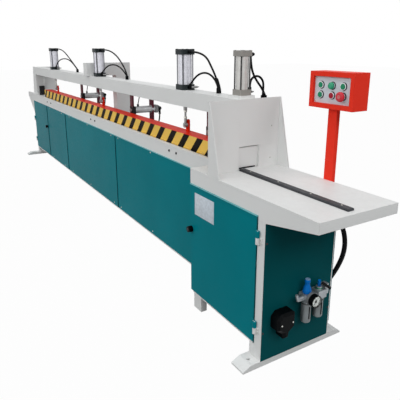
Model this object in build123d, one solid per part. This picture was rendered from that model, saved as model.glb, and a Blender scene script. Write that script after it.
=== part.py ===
"""Finger joint press: channel bed, three upright press cylinders and infeed table. Millimetres."""
import math
import os

from build123d import *

os.makedirs("parts", exist_ok=True)

# Bed: +X is the infeed end, -Y the operator's side, the floor is Z 0
BED_X0 = -3022.0
BED_X1 = 2048.0
BED_Y0 = -85.0
BED_Y1 = 205.0
BED_Z0 = 764.0
DECK_Z = 850.0
DECK_T = 12.0
WALL_T = 8.0
LIP_H = 13.0
LIP_T = 22.0
CHANNEL_W = 134.0
FENCE_T = 20.0
CHANNEL_Y = BED_Y0 + LIP_T + CHANNEL_W / 2
FENCE_Y = CHANNEL_Y + CHANNEL_W / 2
DECK_Z0 = DECK_Z - DECK_T
LIP_Z = DECK_Z + LIP_H
OVERHANG_END_Z = 813.0
OVERHANG_ROOT_Z = 596.0

# Stand under the bed
STAND_X0 = -2703.0
SEAMS = (-1955.0, -1095.0, 461.0)
ANGLE = 40.0
ANGLE_T = 5.0
PANEL_T = 3.0
PANEL_GAP = 1.0
PANEL_Z0 = 105.0
RAIL_DROP = 7.0
RAIL_Z0 = PANEL_Z0 - RAIL_DROP
STAND_Y0 = BED_Y0 + PANEL_T
STAND_Y1 = BED_Y1 - PANEL_T
STAND_POST_W = 60.0
MID_LEG_W = 60.0
MID_LEG_Y = (45.0, 142.0)

# Feet
FOOT_W = 95.0
FOOT_H = 30.0
FOOT_TIP_H = 8.0
FOOT_SLOPE = 46.0
FOOT_HOLE_R = 9.0
FOOT_HOLE_IN = 66.0
NEAR_FOOT_Y = (-355.0, 295.0)
FAR_FOOT_Y = (-245.0, 350.0)

# Near cabinet
CAB_X1 = 2707.0
CAB_Y0 = -254.0
CAB_Y1 = 197.0
POST_W = 52.0
POST_D = 40.0
LEG_IN = 23.0
LEG_W = 79.0
LEG_D = 38.0
RAIL_H = 40.0
RAIL_T = 6.0
POST_TOP_Z = 742.0
END_PANEL_T = 2.0
END_PANEL_FRONT = 1.0
END_PANEL_REAR = 9.0
END_PANEL_GAP = 1.0
END_PANEL_Z = (FOOT_H + END_PANEL_GAP, POST_TOP_Z - END_PANEL_GAP)
LEG_X0 = BED_X1 + LEG_IN
LEG_X1 = LEG_X0 + LEG_W
POST_X0 = CAB_X1 - POST_W
END_X = CAB_X1 + END_PANEL_T

# Infeed table
TABLE_X1 = 3022.0
TABLE_Y1 = 213.0
APRON_T = 8.0
APRON_END_Z = 801.0
STRIP_W = 35.0
STRIP_H = 11.0
STRIP_EASE = 3.0
STRIP_END = 32.0
STRIP_GAP = 5.0

# Near tower, window and gate
TOWER_T = 10.0
TOWER_X1 = 2238.0
TOWER_Z = 1232.0
TOWER_FOOT = 94.0
WINDOW_Z = (857.0, 980.0)
GATE_X0 = 2132.0
GATE_W = 126.0
GATE_Z = (852.0, 974.0)
GATE_GAP = 1.0
GATE_BACK_GAP = 2.0
TOWER_X0 = TOWER_X1 - TOWER_T
GATE_X1 = TOWER_X0 - GATE_BACK_GAP

# Top beam and rear column
BEAM_W = 128.0
BEAM_Z = (1130.0, 1228.0)
BEAM_T = 6.0
BEAM_Y0 = CHANNEL_Y - BEAM_W / 2
BEAM_Y1 = CHANNEL_Y + BEAM_W / 2
COLUMN_X = (-300.0, -200.0)
COLUMN_Y1 = 355.0
COLUMN_ARM_H = 120.0
COLUMN_T = 6.0

# Far tower and end ram
FAR_PLATE_X1 = -2550.0
FAR_PLATE_T = 20.0
FAR_CHEEK_FOOT = 192.0
FAR_CHEEK_HEAD = 110.0
FAR_CHEEK_T = 8.0
FAR_RIB_Y = (42.0, 56.0)
FAR_RIB_D = 20.0
RAM_Z = 915.0
RAM_R = 50.0
RAM_WALL = 10.0
RAM_LENGTH = 245.0
RAM_CAP_T = 15.0
RAM_FLANGE_RIM = 5.0
RAM_FLANGE_T = 12.0
RAM_ROD_R = 20.0
RAM_PISTON_T = 30.0
RAM_PISTON_BACK = 45.0
RAM_HEAD_T = 40.0
RAM_HEAD_W = 66.0
RAM_HEAD_Z = (853.0, 975.0)
RAM_HEAD_GAP = 5.0
FAR_PLATE_X0 = FAR_PLATE_X1 - FAR_PLATE_T
RAM_BORE_R = RAM_R - RAM_WALL
RAM_FLANGE_R = RAM_R + RAM_FLANGE_RIM

# Running fits and small gaps between moving pieces
FIT = 0.05
SEAL_GAP = 0.3
DOOR_GAP = 0.5

# Doors, hinges and latch knobs
DOOR_T = 2.5
HINGE_R = 5.5
NEAR_HINGE_R = 9.0
HINGE_PIN_R = 3.0
LEAF_T = 3.0
LEAF_W = 23.0
NEAR_HINGE_X = 2666.0
NEAR_HINGE_Z = (168.0, 631.0)
FAR_HINGE_OUT = 6.0
FAR_HINGE_Z = (180.0, 480.0)
KNUCKLE_H = 32.0
KNOB_R = 17.0
KNOB_D = 26.0
KNOB_SHAFT_R = 5.0
CAM_T = 3.0
NEAR_KNOB = (2060.0, 495.0)
FAR_KNOB = (-1990.0, 490.0)
CAM_W = 10.0
NEAR_CAM_L = 32.0
FAR_CAM_L = 45.0
KEEPER_T = 4.0
NEAR_CAM_TURN = -90.0
FAR_CAM_TURN = 0.0

# Upright press cylinders
PRESS_X = (-1730.0, -95.0, 1540.0)
CAP_W = 95.0
CAP_H = 34.0
CAP_EDGE_R = 10.0
BARREL_R = 43.0
BARREL_H = 186.0
BARREL_WALL = 3.0
BORE_R = BARREL_R - BARREL_WALL
TIE_R = 4.0
TIE_AT = 36.0
PISTON_H = 30.0
PISTON_REST = 4.0
ROD_R = 12.5
ROD_END_Z = 1093.0
STUD_R = 7.0
ROD_HOLE_R = 22.0
EYE_R = 17.0
EYE_T = 20.0
EYE_SHANK_R = 9.5
EYE_TOP_Z = 1040.0
EYE_PIN_Z = 995.0
EYE_PIN_R = 8.0
PIN_OUT = 5.0

# Press beam
PRESS_BEAM_X = (-2165.0, 2100.0)
PRESS_BEAM_W = 98.0
PRESS_BEAM_Z = (869.0, 951.0)
PRESS_BEAM_T = 8.0
LUG_T = 16.0
LUG_W = 28.0
LUG_Z = 1033.0
LUG_GAP = 1.0

# Gate cylinder
GATE_CYL_X = 2158.0
GATE_CAP_W = 76.0
GATE_CAP_H = 30.0
GATE_CAP_EDGE_R = 8.0
GATE_BARREL_R = 34.0
GATE_BARREL_H = 172.0
GATE_WALL = 2.5
GATE_BORE_R = GATE_BARREL_R - GATE_WALL
GATE_TIE_R = 4.0
GATE_TIE_AT = 28.3
GATE_ROD_R = 10.0
GATE_PISTON_H = 24.0
GATE_PLATE_W = 100.0
GATE_PLATE_T = 17.0
GATE_ROD_HOLE_R = 16.0

# Lock cylinders behind the press beam
LOCK_X = (-920.0, 481.0, 1728.0)
LOCK_Z = 970.0
LOCK_CAP_RIM = 3.0
LOCK_CAP_T = 28.0
LOCK_BARREL_R = 30.0
LOCK_WALL = 6.0
LOCK_BARREL_L = 186.0
LOCK_BORE_R = LOCK_BARREL_R - LOCK_WALL
LOCK_CAP_W = 2 * (LOCK_BARREL_R + LOCK_CAP_RIM)
LOCK_ROD_R = 11.0
LOCK_PISTON_T = 22.0
LOCK_PISTON_IN = 54.0
LOCK_TIP_R = 16.0
LOCK_TIP_L = 9.0
LOCK_TIP_GAP = 1.0
PRESS_STROKE = 70.0
LOCK_HOLE_GAP = 2.0
HANGER_W = 50.0
HANGER_T = 15.0
HANGER_Z1 = 1190.0
REAR_PLATE_Y = 252.0
REAR_SHELF_H = 20.0
REAR_PLATE_Z1 = 1120.0

# Control box
POST_BOX_X = (2587.0, 2643.0)
POST_BOX_D = 20.0
POST_BOX_Z0 = 770.0
POST_BOX_T = 3.0
BOX_X = (2486.0, 2761.0)
BOX_Z = (1209.0, 1382.0)
BOX_Y0 = 178.0
BOX_D = 100.0
BOX_T = 3.0
BOX_FRONT_T = 18.0
PLATE_IN = 23.0
PLATE_T = 2.0
RECESS_D = 15.0
BUTTON_X = (2552.0, 2623.0, 2691.0)
BUTTON_Z = (1318.0, 1272.0)
BUTTON_R = 11.0
BEZEL_R = 16.5
BEZEL_H = 8.0
BUTTON_OUT = 3.0
BUTTON_IN = 12.0
FLANGE_R = 14.0
FLANGE_T = 3.0
LAMP_R = 17.0
LAMP_H = 13.0
LAMP_EDGE_R = 9.0
STOP_R = 23.0
STOP_H = 16.0
STOP_EDGE_R = 6.0
STOP_GAP = 12.0
STOP_SOCKET = 9.0

# Air preparation unit on the end panel
AIR_X = 2745.0
AIR_D = 54.0
REG_Y = -11.0
LUB_Y = 69.0
AIR_Z = (308.0, 350.0)
AIR_PORT_Z = 329.0
BOWL_R = 24.5
REG_BOWL_Z = 195.0
LUB_BOWL_Z = 200.0
BOWL_EDGE_R = 8.0
BOWL_COLLAR_RIM = 2.5
BOWL_COLLAR_R = BOWL_R + BOWL_COLLAR_RIM
BOWL_COLLAR_H = 14.0
SLOT_W = 9.0
SLOT_D = 4.0
SLOT_H = 68.0
SLOT_DOWN = 24.0
DRAIN_R = 6.0
DRAIN_H = 9.0
REG_KNOB_R = 24.0
REG_KNOB_TOP_R = 14.0
REG_KNOB_H = 71.0
REG_KNOB_SKIRT = 28.0
REG_KNOB_NECK = 44.0
SPIGOT_R = 8.0
SPIGOT_H = 30.0
LUB_DOME_R = 16.0
LUB_DOME_H = 14.0
LUB_KNOB_R = 8.0
LUB_KNOB_H = 30.0
DRIP_PIN_R = 3.5
DRIP_PIN_H = 14.0
STUB_R = 12.0
STUB_L = 21.0
LINK_W = 30.0
LINK_H = 22.0
VALVE_W = 24.0
VALVE_H = 26.0
VALVE_RISE = 28.0
GAUGE_Z = 333.0
GAUGE_R = 31.0
GAUGE_D = 42.0
GAUGE_RIM = 3.0
GAUGE_WELL = 8.0
GLASS_T = 2.0
GLASS_IN = 1.0
POINTER_L = 20.0
POINTER_W = 3.0
POINTER_T = 1.5
POINTER_HUB_R = 4.0
POINTER_PIN_R = 1.5
POINTER_PIN_L = 3.0
POINTER_REST = 135.0
LEVER_L = 70.0
LEVER_W = 14.0
LEVER_T = 5.0
LEVER_STEM_R = 5.0
LEVER_STEM = 4.0
LEVER_SOCKET = 12.0
LEVER_ANGLE = 142.0

# Power inlet on the end panel
INLET_Y = (-202.0, -94.0)
INLET_Z = (185.0, 290.0)
INLET_D = 60.0
INLET_CORNER = 24.0
INLET_SPOUT_Z = 155.0
INLET_SPOUT_W = 40.0
INLET_EDGE = 12.0
INLET_TIP_W = 28.0

# Oil unit inside the near cabinet
TANK_X = (2190.0, 2480.0)
TANK_Y = (-190.0, 150.0)
TANK_H = 250.0
TANK_T = 4.0
LID_T = 8.0
MOTOR_R = 75.0
MOTOR_H = 245.0

# Hoses, their fittings and the conduit
HOSE_R = 6.0
SMALL_HOSE_R = 4.0
CONDUIT_R = 12.0
PORT_R = 9.0
PORT_OUT = 19.5
SLEEVE_R = 13.5
SLEEVE_Z = 1258.0
ELBOW_R = 17.0
ELBOW_STUB = 28.0
ELBOW_DROP = 27.0
BEND_SHARE = 0.45
CONDUIT_X = (POST_BOX_X[0] + POST_BOX_X[1]) / 2
CONDUIT_CLEAR = 1.0
CONDUIT_Y = TABLE_Y1 + CONDUIT_R + CONDUIT_CLEAR
CONDUIT_GAP = 8.0
CONDUIT_BOX = (2585.0, 2645.0, 160.0, 230.0)
CONDUIT_BOX_D = 56.0


def block(x0, x1, y0, y1, z0, z1):
    middle = Pos((x0 + x1) / 2, (y0 + y1) / 2, (z0 + z1) / 2)
    return middle * Box(x1 - x0, y1 - y0, z1 - z0)


def bar_x(x0, x1, y, z, r):
    return Pos((x0 + x1) / 2, y, z) * Rot(0, 90, 0) * Cylinder(r, x1 - x0)


def bar_y(y0, y1, x, z, r):
    return Pos(x, (y0 + y1) / 2, z) * Rot(90, 0, 0) * Cylinder(r, y1 - y0)


def bar_z(z0, z1, x, y, r):
    return Pos(x, y, (z0 + z1) / 2) * Cylinder(r, z1 - z0)


def plate_xz(points, y0, y1):
    outline = Polyline(*[(x, y0, z) for x, z in points], close=True)
    return extrude(make_face(outline), amount=y1 - y0, dir=(0, 1, 0))


def plate_yz(points, x0, x1):
    outline = Polyline(*[(x0, y, z) for y, z in points], close=True)
    return extrude(make_face(outline), amount=x1 - x0, dir=(1, 0, 0))


def joined(shapes):
    whole = shapes[0]
    for shape in shapes[1:]:
        whole = whole + shape
    return whole


def save(name, *shapes):
    solids = [solid for shape in shapes for solid in shape.solids()]
    piece = solids[0] if len(solids) == 1 else Compound(children=solids)
    export_step(piece, f"parts/{name}.step")


# Bed and stand
def bed():
    x0, x1 = BED_X0, BED_X1
    profile = [(x0, DECK_Z0), (x0, OVERHANG_END_Z), (STAND_X0, OVERHANG_ROOT_Z), (STAND_X0, DECK_Z0)]
    return [
        block(x0, x1, BED_Y0, BED_Y1, DECK_Z0, DECK_Z),
        block(STAND_X0, x1, BED_Y0, BED_Y0 + WALL_T, BED_Z0, DECK_Z0),
        block(STAND_X0, x1, BED_Y1 - WALL_T, BED_Y1, BED_Z0, DECK_Z0),
        plate_xz(profile, BED_Y0, BED_Y0 + WALL_T),
        plate_xz(profile, BED_Y1 - WALL_T, BED_Y1),
        block(x0, x0 + WALL_T, BED_Y0 + WALL_T, BED_Y1 - WALL_T, OVERHANG_END_Z, DECK_Z0),
        block(x0, x1, BED_Y0, BED_Y0 + LIP_T, DECK_Z, LIP_Z),
        block(FAR_PLATE_X1, x1, FENCE_Y, FENCE_Y + FENCE_T, DECK_Z, LIP_Z),
    ]


def rail(x0, x1, y_out, way, z_out, up):
    y_edge = y_out + way * ANGLE
    y_thin = y_out + way * ANGLE_T
    z_edge = z_out + up * ANGLE
    z_thin = z_out + up * ANGLE_T
    upright = block(x0, x1, min(y_out, y_thin), max(y_out, y_thin), min(z_out, z_edge), max(z_out, z_edge))
    flat = block(x0, x1, min(y_out, y_edge), max(y_out, y_edge), min(z_out, z_thin), max(z_out, z_thin))
    return upright + flat


def stand():
    x0, x1 = STAND_X0, BED_X1
    y0, y1 = STAND_Y0, STAND_Y1
    z0, z1 = RAIL_Z0, BED_Z0
    pieces = [
        rail(x0, x1, y0, 1, z0, 1),
        rail(x0, x1, y0, 1, z1, -1),
        rail(x0, x1, y1, -1, z0, 1),
        rail(x0, x1, y1, -1, z1, -1),
        block(x0, x0 + ANGLE_T, y0 + ANGLE_T, y0 + ANGLE, z0 + ANGLE_T, z1 - ANGLE_T),
        block(x0, x0 + ANGLE_T, y1 - ANGLE, y1 - ANGLE_T, z0 + ANGLE_T, z1 - ANGLE_T),
    ]
    for x in (x0 + ANGLE / 2, *SEAMS, x1 - ANGLE / 2):
        a, b = x - ANGLE / 2, x + ANGLE / 2
        pieces.append(block(a, b, y0, y0 + ANGLE_T, z0 + ANGLE, z1 - ANGLE))
        pieces.append(block(a, b, y1 - ANGLE_T, y1, z0 + ANGLE, z1 - ANGLE))
        pieces.append(block(a, b, y0 + ANGLE, y1 - ANGLE, z0, z0 + ANGLE_T))
        pieces.append(block(a, b, y0 + ANGLE, y1 - ANGLE, z1 - ANGLE_T, z1))
    for y in (y0, y1 - POST_D):
        pieces.append(block(x0, x0 + STAND_POST_W, y, y + POST_D, FOOT_H, z0))
    for x in SEAMS[1:]:
        for y in MID_LEG_Y:
            pieces.append(block(x - MID_LEG_W / 2, x + MID_LEG_W / 2, y, y + MID_LEG_W, 0.0, z0))
    return pieces


def foot(x0, y0, y1):
    outline = [(y0, 0), (y1, 0), (y1, FOOT_TIP_H), (y1 - FOOT_SLOPE, FOOT_H)]
    outline += [(y0 + FOOT_SLOPE, FOOT_H), (y0, FOOT_TIP_H)]
    body = plate_yz(outline, x0, x0 + FOOT_W)
    for y in (y0 + FOOT_HOLE_IN, y1 - FOOT_HOLE_IN):
        body -= bar_z(-FOOT_H, 2 * FOOT_H, x0 + FOOT_W / 2, y, FOOT_HOLE_R)
    return body


# Near cabinet and infeed table
def cabinet_frame():
    front = CAB_Y0 + APRON_T
    z1 = PANEL_Z0 + RAIL_H
    return [
        block(POST_X0, CAB_X1, CAB_Y0, CAB_Y0 + POST_D, FOOT_H, POST_TOP_Z),
        block(POST_X0, CAB_X1, front, CAB_Y0 + POST_D, POST_TOP_Z, DECK_Z0),
        block(POST_X0, CAB_X1, CAB_Y1 - POST_D, CAB_Y1, FOOT_H, DECK_Z0),
        block(LEG_X0, LEG_X1, front, front + LEG_D, 0.0, DECK_Z0),
        block(LEG_X0, LEG_X1, CAB_Y1 - LEG_D, CAB_Y1, 0.0, DECK_Z0),
        block(LEG_X1, POST_X0, front, front + RAIL_T, RAIL_Z0, z1),
        block(LEG_X1, POST_X0, CAB_Y1 - RAIL_T, CAB_Y1, RAIL_Z0, z1),
        block(LEG_X1 - RAIL_T, LEG_X1, front + LEG_D, CAB_Y1 - LEG_D, RAIL_Z0, z1),
        block(POST_X0, POST_X0 + RAIL_T, CAB_Y0 + POST_D, CAB_Y1 - POST_D, RAIL_Z0, z1),
        block(LEG_X1, POST_X0, front + RAIL_T, CAB_Y1 - RAIL_T, z1 - RAIL_T, z1),
        block(LEG_X1, POST_X0, front, front + RAIL_T, BED_Z0 - RAIL_H, BED_Z0),
        block(LEG_X1, POST_X0, CAB_Y1 - RAIL_T, CAB_Y1, BED_Z0 - RAIL_H, BED_Z0),
    ]


def infeed_table():
    taper = [
        (POST_X0, DECK_Z0),
        (POST_X0, POST_TOP_Z),
        (CAB_X1, POST_TOP_Z),
        (TABLE_X1, APRON_END_Z),
        (TABLE_X1, DECK_Z0),
    ]
    y0, y1 = CAB_Y0 + APRON_T, TABLE_Y1 - APRON_T
    return [
        block(BED_X1, TABLE_X1, CAB_Y0, TABLE_Y1, DECK_Z0, DECK_Z),
        block(BED_X1, POST_X0, CAB_Y0, y0, BED_Z0, DECK_Z0),
        block(BED_X1, POST_X0, y1, TABLE_Y1, BED_Z0, DECK_Z0),
        plate_xz(taper, CAB_Y0, y0),
        plate_xz(taper, y1, TABLE_Y1),
        block(TABLE_X1 - APRON_T, TABLE_X1, y0, y1, APRON_END_Z, DECK_Z0),
        block(BED_X1, BED_X1 + APRON_T, y0, y1, BED_Z0, DECK_Z0),
        block(BED_X1, TOWER_X0, BED_Y0, BED_Y0 + LIP_T, DECK_Z, LIP_Z),
        block(BED_X1, TOWER_X0, FENCE_Y, FENCE_Y + FENCE_T, DECK_Z, LIP_Z),
    ]


def guide_strip():
    y0 = BED_Y0 + LIP_T
    x0 = TOWER_X1 + STRIP_GAP
    strip = block(x0, TABLE_X1 - STRIP_END, y0, y0 + STRIP_W, DECK_Z, DECK_Z + STRIP_H)
    return chamfer(strip.faces().sort_by(Axis.Z)[-1].edges(), STRIP_EASE)


# Towers, top beam and rear column
def near_tower():
    x0, x1 = TOWER_X0, TOWER_X1
    y0, y1 = CHANNEL_Y - CHANNEL_W / 2, CHANNEL_Y + CHANNEL_W / 2
    gusset = [(TOWER_X1, DECK_Z), (TOWER_X1 + TOWER_FOOT, DECK_Z), (TOWER_X1, TOWER_Z)]
    side = GATE_W / 2 + GATE_GAP
    return [
        block(x0, x1, CAB_Y0, y0, DECK_Z, TOWER_Z),
        block(x0, x1, y1, TABLE_Y1, DECK_Z, TOWER_Z),
        block(x0, x1, y0, y1, DECK_Z, WINDOW_Z[0]),
        block(x0, x1, y0, y1, WINDOW_Z[1], TOWER_Z),
        plate_xz(gusset, CAB_Y0, CAB_Y0 + APRON_T),
        plate_xz(gusset, TABLE_Y1 - APRON_T, TABLE_Y1),
        block(GATE_X0, TOWER_X0, BED_Y0, CHANNEL_Y - side, LIP_Z, BEAM_Z[0]),
        block(GATE_X0, TOWER_X0, CHANNEL_Y + side, FENCE_Y + FENCE_T, LIP_Z, BEAM_Z[0]),
    ]


def far_tower():
    x0, x1 = FAR_PLATE_X0, FAR_PLATE_X1
    cheek = [(x0, DECK_Z), (x0 - FAR_CHEEK_FOOT, DECK_Z), (x0 - FAR_CHEEK_HEAD, TOWER_Z), (x0, TOWER_Z)]
    plate = block(x0, x1, BEAM_Y0, STAND_Y1, DECK_Z, TOWER_Z)
    return [
        plate - bar_x(x0, x1, CHANNEL_Y, RAM_Z, RAM_ROD_R + FIT),
        plate_xz(cheek, BEAM_Y0, BEAM_Y0 + FAR_CHEEK_T),
        plate_xz(cheek, STAND_Y1 - FAR_CHEEK_T, STAND_Y1),
        block(x1, x1 + FAR_RIB_D, *FAR_RIB_Y, DECK_Z, BEAM_Z[0]),
    ]


def top_beam():
    x0, x1 = FAR_PLATE_X1, TOWER_X0
    z0, z1 = BEAM_Z
    beam = block(x0, x1, BEAM_Y0, BEAM_Y1, z0, z1)
    beam -= block(x0, x1, BEAM_Y0 + BEAM_T, BEAM_Y1 - BEAM_T, z0 + BEAM_T, z1 - BEAM_T)
    half = GATE_PLATE_W / 2
    x, y = GATE_CYL_X, CHANNEL_Y
    plate = block(x - half, x + half, y - half, y + half, z1, z1 + GATE_PLATE_T)
    for x in PRESS_X:
        beam -= bar_z(z0 - BEAM_T, z1 + BEAM_T, x, CHANNEL_Y, ROD_HOLE_R)
    hole = bar_z(z0 - BEAM_T, z1 + 2 * GATE_PLATE_T, GATE_CYL_X, CHANNEL_Y, GATE_ROD_HOLE_R)
    return [beam - hole, plate - hole]


def rear_column():
    x0, x1 = COLUMN_X
    z1 = BEAM_Z[1]
    t = COLUMN_T
    arm_top = z1 + COLUMN_ARM_H
    hollow = block(x0 + t, x1 - t, BED_Y0 + t, COLUMN_Y1 - t, z1 + t, arm_top - t)
    hollow += block(x0 + t, x1 - t, BED_Y1 + t, COLUMN_Y1 - t, BED_Z0, z1 + t)
    arm = block(x0, x1, BED_Y0, COLUMN_Y1, z1, arm_top) - hollow
    return [arm, block(x0, x1, BED_Y1, COLUMN_Y1, BED_Z0, z1) - hollow]


# Sheet panels
def front_panels():
    edges = (*SEAMS, BED_X1)
    sheets = []
    for x0, x1 in zip(edges, edges[1:]):
        sheets.append(block(x0 + PANEL_GAP, x1 - PANEL_GAP, BED_Y0, STAND_Y0, PANEL_Z0, BED_Z0))
    return sheets


def rear_panels():
    edges = (STAND_X0, *SEAMS, BED_X1)
    sheets = []
    for x0, x1 in zip(edges, edges[1:]):
        sheets.append(block(x0 + PANEL_GAP, x1 - PANEL_GAP, STAND_Y1, BED_Y1, PANEL_Z0, BED_Z0))
    return sheets


def cabinet_panels():
    front = CAB_Y0 + APRON_T
    back = block(LEG_X0, CAB_X1, CAB_Y1, CAB_Y1 + PANEL_T, PANEL_Z0, POST_TOP_Z)
    left = block(LEG_X0 - PANEL_T, LEG_X0, front, CAB_Y1, PANEL_Z0, BED_Z0)
    z = NEAR_KNOB[1] + KNOB_R
    keeper = block(BED_X1 + PANEL_T, LEG_X0 - PANEL_T, front, front + KEEPER_T, z, z + KNOB_R)
    return [back, left, keeper]


def end_panel():
    return block(CAB_X1, END_X, CAB_Y0 + END_PANEL_FRONT, CAB_Y1 - END_PANEL_REAR, *END_PANEL_Z)


# Doors
def near_hinge_y():
    return CAB_Y0 - NEAR_HINGE_R - DOOR_GAP


def near_door():
    x0, x1 = BED_X1 + PANEL_GAP, POST_X0 - PANEL_GAP
    y = near_hinge_y()
    skin = block(x0, x1, CAB_Y0, CAB_Y0 + DOOR_T, PANEL_Z0 + PANEL_GAP, BED_Z0 - PANEL_GAP)
    skin -= bar_y(CAB_Y0 - DOOR_T, CAB_Y0 + 2 * DOOR_T, *NEAR_KNOB, KNOB_SHAFT_R + FIT)
    pieces = [skin]
    for z in NEAR_HINGE_Z:
        z0, z1 = z + KNUCKLE_H + DOOR_GAP, z + 2 * KNUCKLE_H
        leaf = block(x1 - LEAF_W, x1, CAB_Y0 - LEAF_T, CAB_Y0, z0, z1)
        leaf += block(x1, NEAR_HINGE_X, CAB_Y0 - LEAF_T, CAB_Y0 - DOOR_GAP, z0, z1)
        leaf += bar_z(z0, z1, NEAR_HINGE_X, y, NEAR_HINGE_R)
        pieces.append(leaf - bar_z(z0 - HINGE_R, z1 + HINGE_R, NEAR_HINGE_X, y, HINGE_PIN_R + FIT))
    return pieces


def far_hinge():
    return STAND_X0 - FAR_HINGE_OUT, BED_Y0 - HINGE_R - DOOR_GAP


def far_door():
    x0, x1 = STAND_X0 + PANEL_GAP, SEAMS[0] - PANEL_GAP
    hx, hy = far_hinge()
    skin = block(x0, x1, BED_Y0, BED_Y0 + DOOR_T, PANEL_Z0 + PANEL_GAP, BED_Z0 - PANEL_GAP)
    skin -= bar_y(BED_Y0 - DOOR_T, BED_Y0 + 2 * DOOR_T, *FAR_KNOB, KNOB_SHAFT_R + FIT)
    pieces = [skin]
    for z in FAR_HINGE_Z:
        z0, z1 = z + KNUCKLE_H + DOOR_GAP, z + 2 * KNUCKLE_H
        leaf = block(hx, x0 + LEAF_W, BED_Y0 - LEAF_T, BED_Y0, z0, z1) + bar_z(z0, z1, hx, hy, HINGE_R)
        pieces.append(leaf - bar_z(z0 - HINGE_R, z1 + HINGE_R, hx, hy, HINGE_PIN_R + FIT))
    return pieces


def hinge_pins():
    halves = []
    y = near_hinge_y()
    for z in NEAR_HINGE_Z:
        half = bar_z(z, z + KNUCKLE_H, NEAR_HINGE_X, y, NEAR_HINGE_R)
        half += block(NEAR_HINGE_X, NEAR_HINGE_X + LEAF_W, CAB_Y0 - LEAF_T, CAB_Y0, z, z + KNUCKLE_H)
        half += bar_z(z, z + 2 * KNUCKLE_H, NEAR_HINGE_X, y, HINGE_PIN_R)
        halves.append(half)
    hx, hy = far_hinge()
    for z in FAR_HINGE_Z:
        half = bar_z(z, z + KNUCKLE_H, hx, hy, HINGE_R)
        half += block(hx - LEAF_T / 2, hx + LEAF_T / 2, hy, STAND_Y0 + LEAF_W, z, z + KNUCKLE_H)
        half += block(hx, STAND_X0, STAND_Y0 + LEAF_T, STAND_Y0 + LEAF_W, z, z + KNUCKLE_H)
        half += bar_z(z, z + 2 * KNUCKLE_H, hx, hy, HINGE_PIN_R)
        halves.append(half)
    return halves


def latch_knob(place, face_y, cam_y, cam_length, cam_turn):
    x, z = place
    grip = bar_y(face_y - DOOR_GAP - KNOB_D, face_y - DOOR_GAP, x, z, KNOB_R)
    shaft = bar_y(face_y - DOOR_GAP, cam_y + CAM_T, x, z, KNOB_SHAFT_R)
    cam = block(-CAM_W / 2, CAM_W / 2, cam_y, cam_y + CAM_T, -CAM_W / 2, cam_length)
    return grip + shaft + Pos(x, 0, z) * Rot(0, cam_turn, 0) * cam


# Cylinders
def square_cap(x, y, z0, z1, width, edge_r):
    body = block(x - width / 2, x + width / 2, y - width / 2, y + width / 2, z0, z1)
    return fillet(body.edges().filter_by(Axis.Z), edge_r)


def barrel(x, y, z0, z1, outer, bore):
    return bar_z(z0, z1, x, y, outer) - bar_z(z0, z1, x, y, bore)


def tie_rods(x, y, z0, z1, at, r):
    return [bar_z(z0, z1, x + dx, y + dy, r) for dx in (-at, at) for dy in (-at, at)]


def press_caps():
    z0 = BEAM_Z[1]
    z1 = z0 + CAP_H
    z2 = z1 + BARREL_H
    pieces = []
    for x in PRESS_X:
        base = square_cap(x, CHANNEL_Y, z0, z1, CAP_W, CAP_EDGE_R)
        pieces.append(base - bar_z(z0, z1, x, CHANNEL_Y, ROD_R + FIT))
        pieces.append(square_cap(x, CHANNEL_Y, z2, z2 + CAP_H, CAP_W, CAP_EDGE_R))
        pieces += tie_rods(x, CHANNEL_Y, z1, z2, TIE_AT, TIE_R)
    return pieces


def press_barrels():
    z0 = BEAM_Z[1] + CAP_H
    return [barrel(x, CHANNEL_Y, z0, z0 + BARREL_H, BARREL_R, BORE_R) for x in PRESS_X]


def press_rods():
    z0 = BEAM_Z[1] + CAP_H + PISTON_REST
    rods = []
    for x in PRESS_X:
        rods.append(joined([
            bar_z(z0, z0 + PISTON_H, x, CHANNEL_Y, BORE_R - SEAL_GAP),
            bar_z(ROD_END_Z, z0, x, CHANNEL_Y, ROD_R),
            bar_z(EYE_TOP_Z, ROD_END_Z, x, CHANNEL_Y, STUD_R),
        ]))
    return rods


def rod_eyes():
    eyes = []
    for x in PRESS_X:
        y0, y1 = CHANNEL_Y - EYE_T / 2, CHANNEL_Y + EYE_T / 2
        eye = bar_y(y0, y1, x, EYE_PIN_Z, EYE_R) + bar_z(EYE_PIN_Z, EYE_TOP_Z, x, CHANNEL_Y, EYE_SHANK_R)
        eyes.append(eye - bar_y(y0, y1, x, EYE_PIN_Z, EYE_PIN_R + FIT))
    return eyes


def lug_y():
    y0 = CHANNEL_Y + EYE_T / 2 + LUG_GAP
    return y0, y0 + LUG_T


def eye_pins():
    y0 = CHANNEL_Y - EYE_T / 2 - PIN_OUT
    y1 = lug_y()[1] + PIN_OUT
    return [bar_y(y0, y1, x, EYE_PIN_Z, EYE_PIN_R) for x in PRESS_X]


def press_beam():
    x0, x1 = PRESS_BEAM_X
    z0, z1 = PRESS_BEAM_Z
    t = PRESS_BEAM_T
    y0, y1 = CHANNEL_Y - PRESS_BEAM_W / 2, CHANNEL_Y + PRESS_BEAM_W / 2
    tube = block(x0, x1, y0, y1, z0, z1) - block(x0, x1, y0 + t, y1 - t, z0 + t, z1 - t)
    # The bolts slide over the lowered beam, and into these holes of the raised one
    for x in LOCK_X:
        tube -= bar_y(y1 - t, y1, x, LOCK_Z - PRESS_STROKE, LOCK_TIP_R + LOCK_HOLE_GAP)
    pieces = [tube]
    for x in PRESS_X:
        lug = block(x - LUG_W / 2, x + LUG_W / 2, *lug_y(), z1, LUG_Z - LUG_W / 2)
        lug += bar_y(*lug_y(), x, LUG_Z - LUG_W / 2, LUG_W / 2)
        pieces.append(lug - bar_y(y0, y1, x, EYE_PIN_Z, EYE_PIN_R + FIT))
    return pieces


def gate_base_z():
    return BEAM_Z[1] + GATE_PLATE_T


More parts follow.
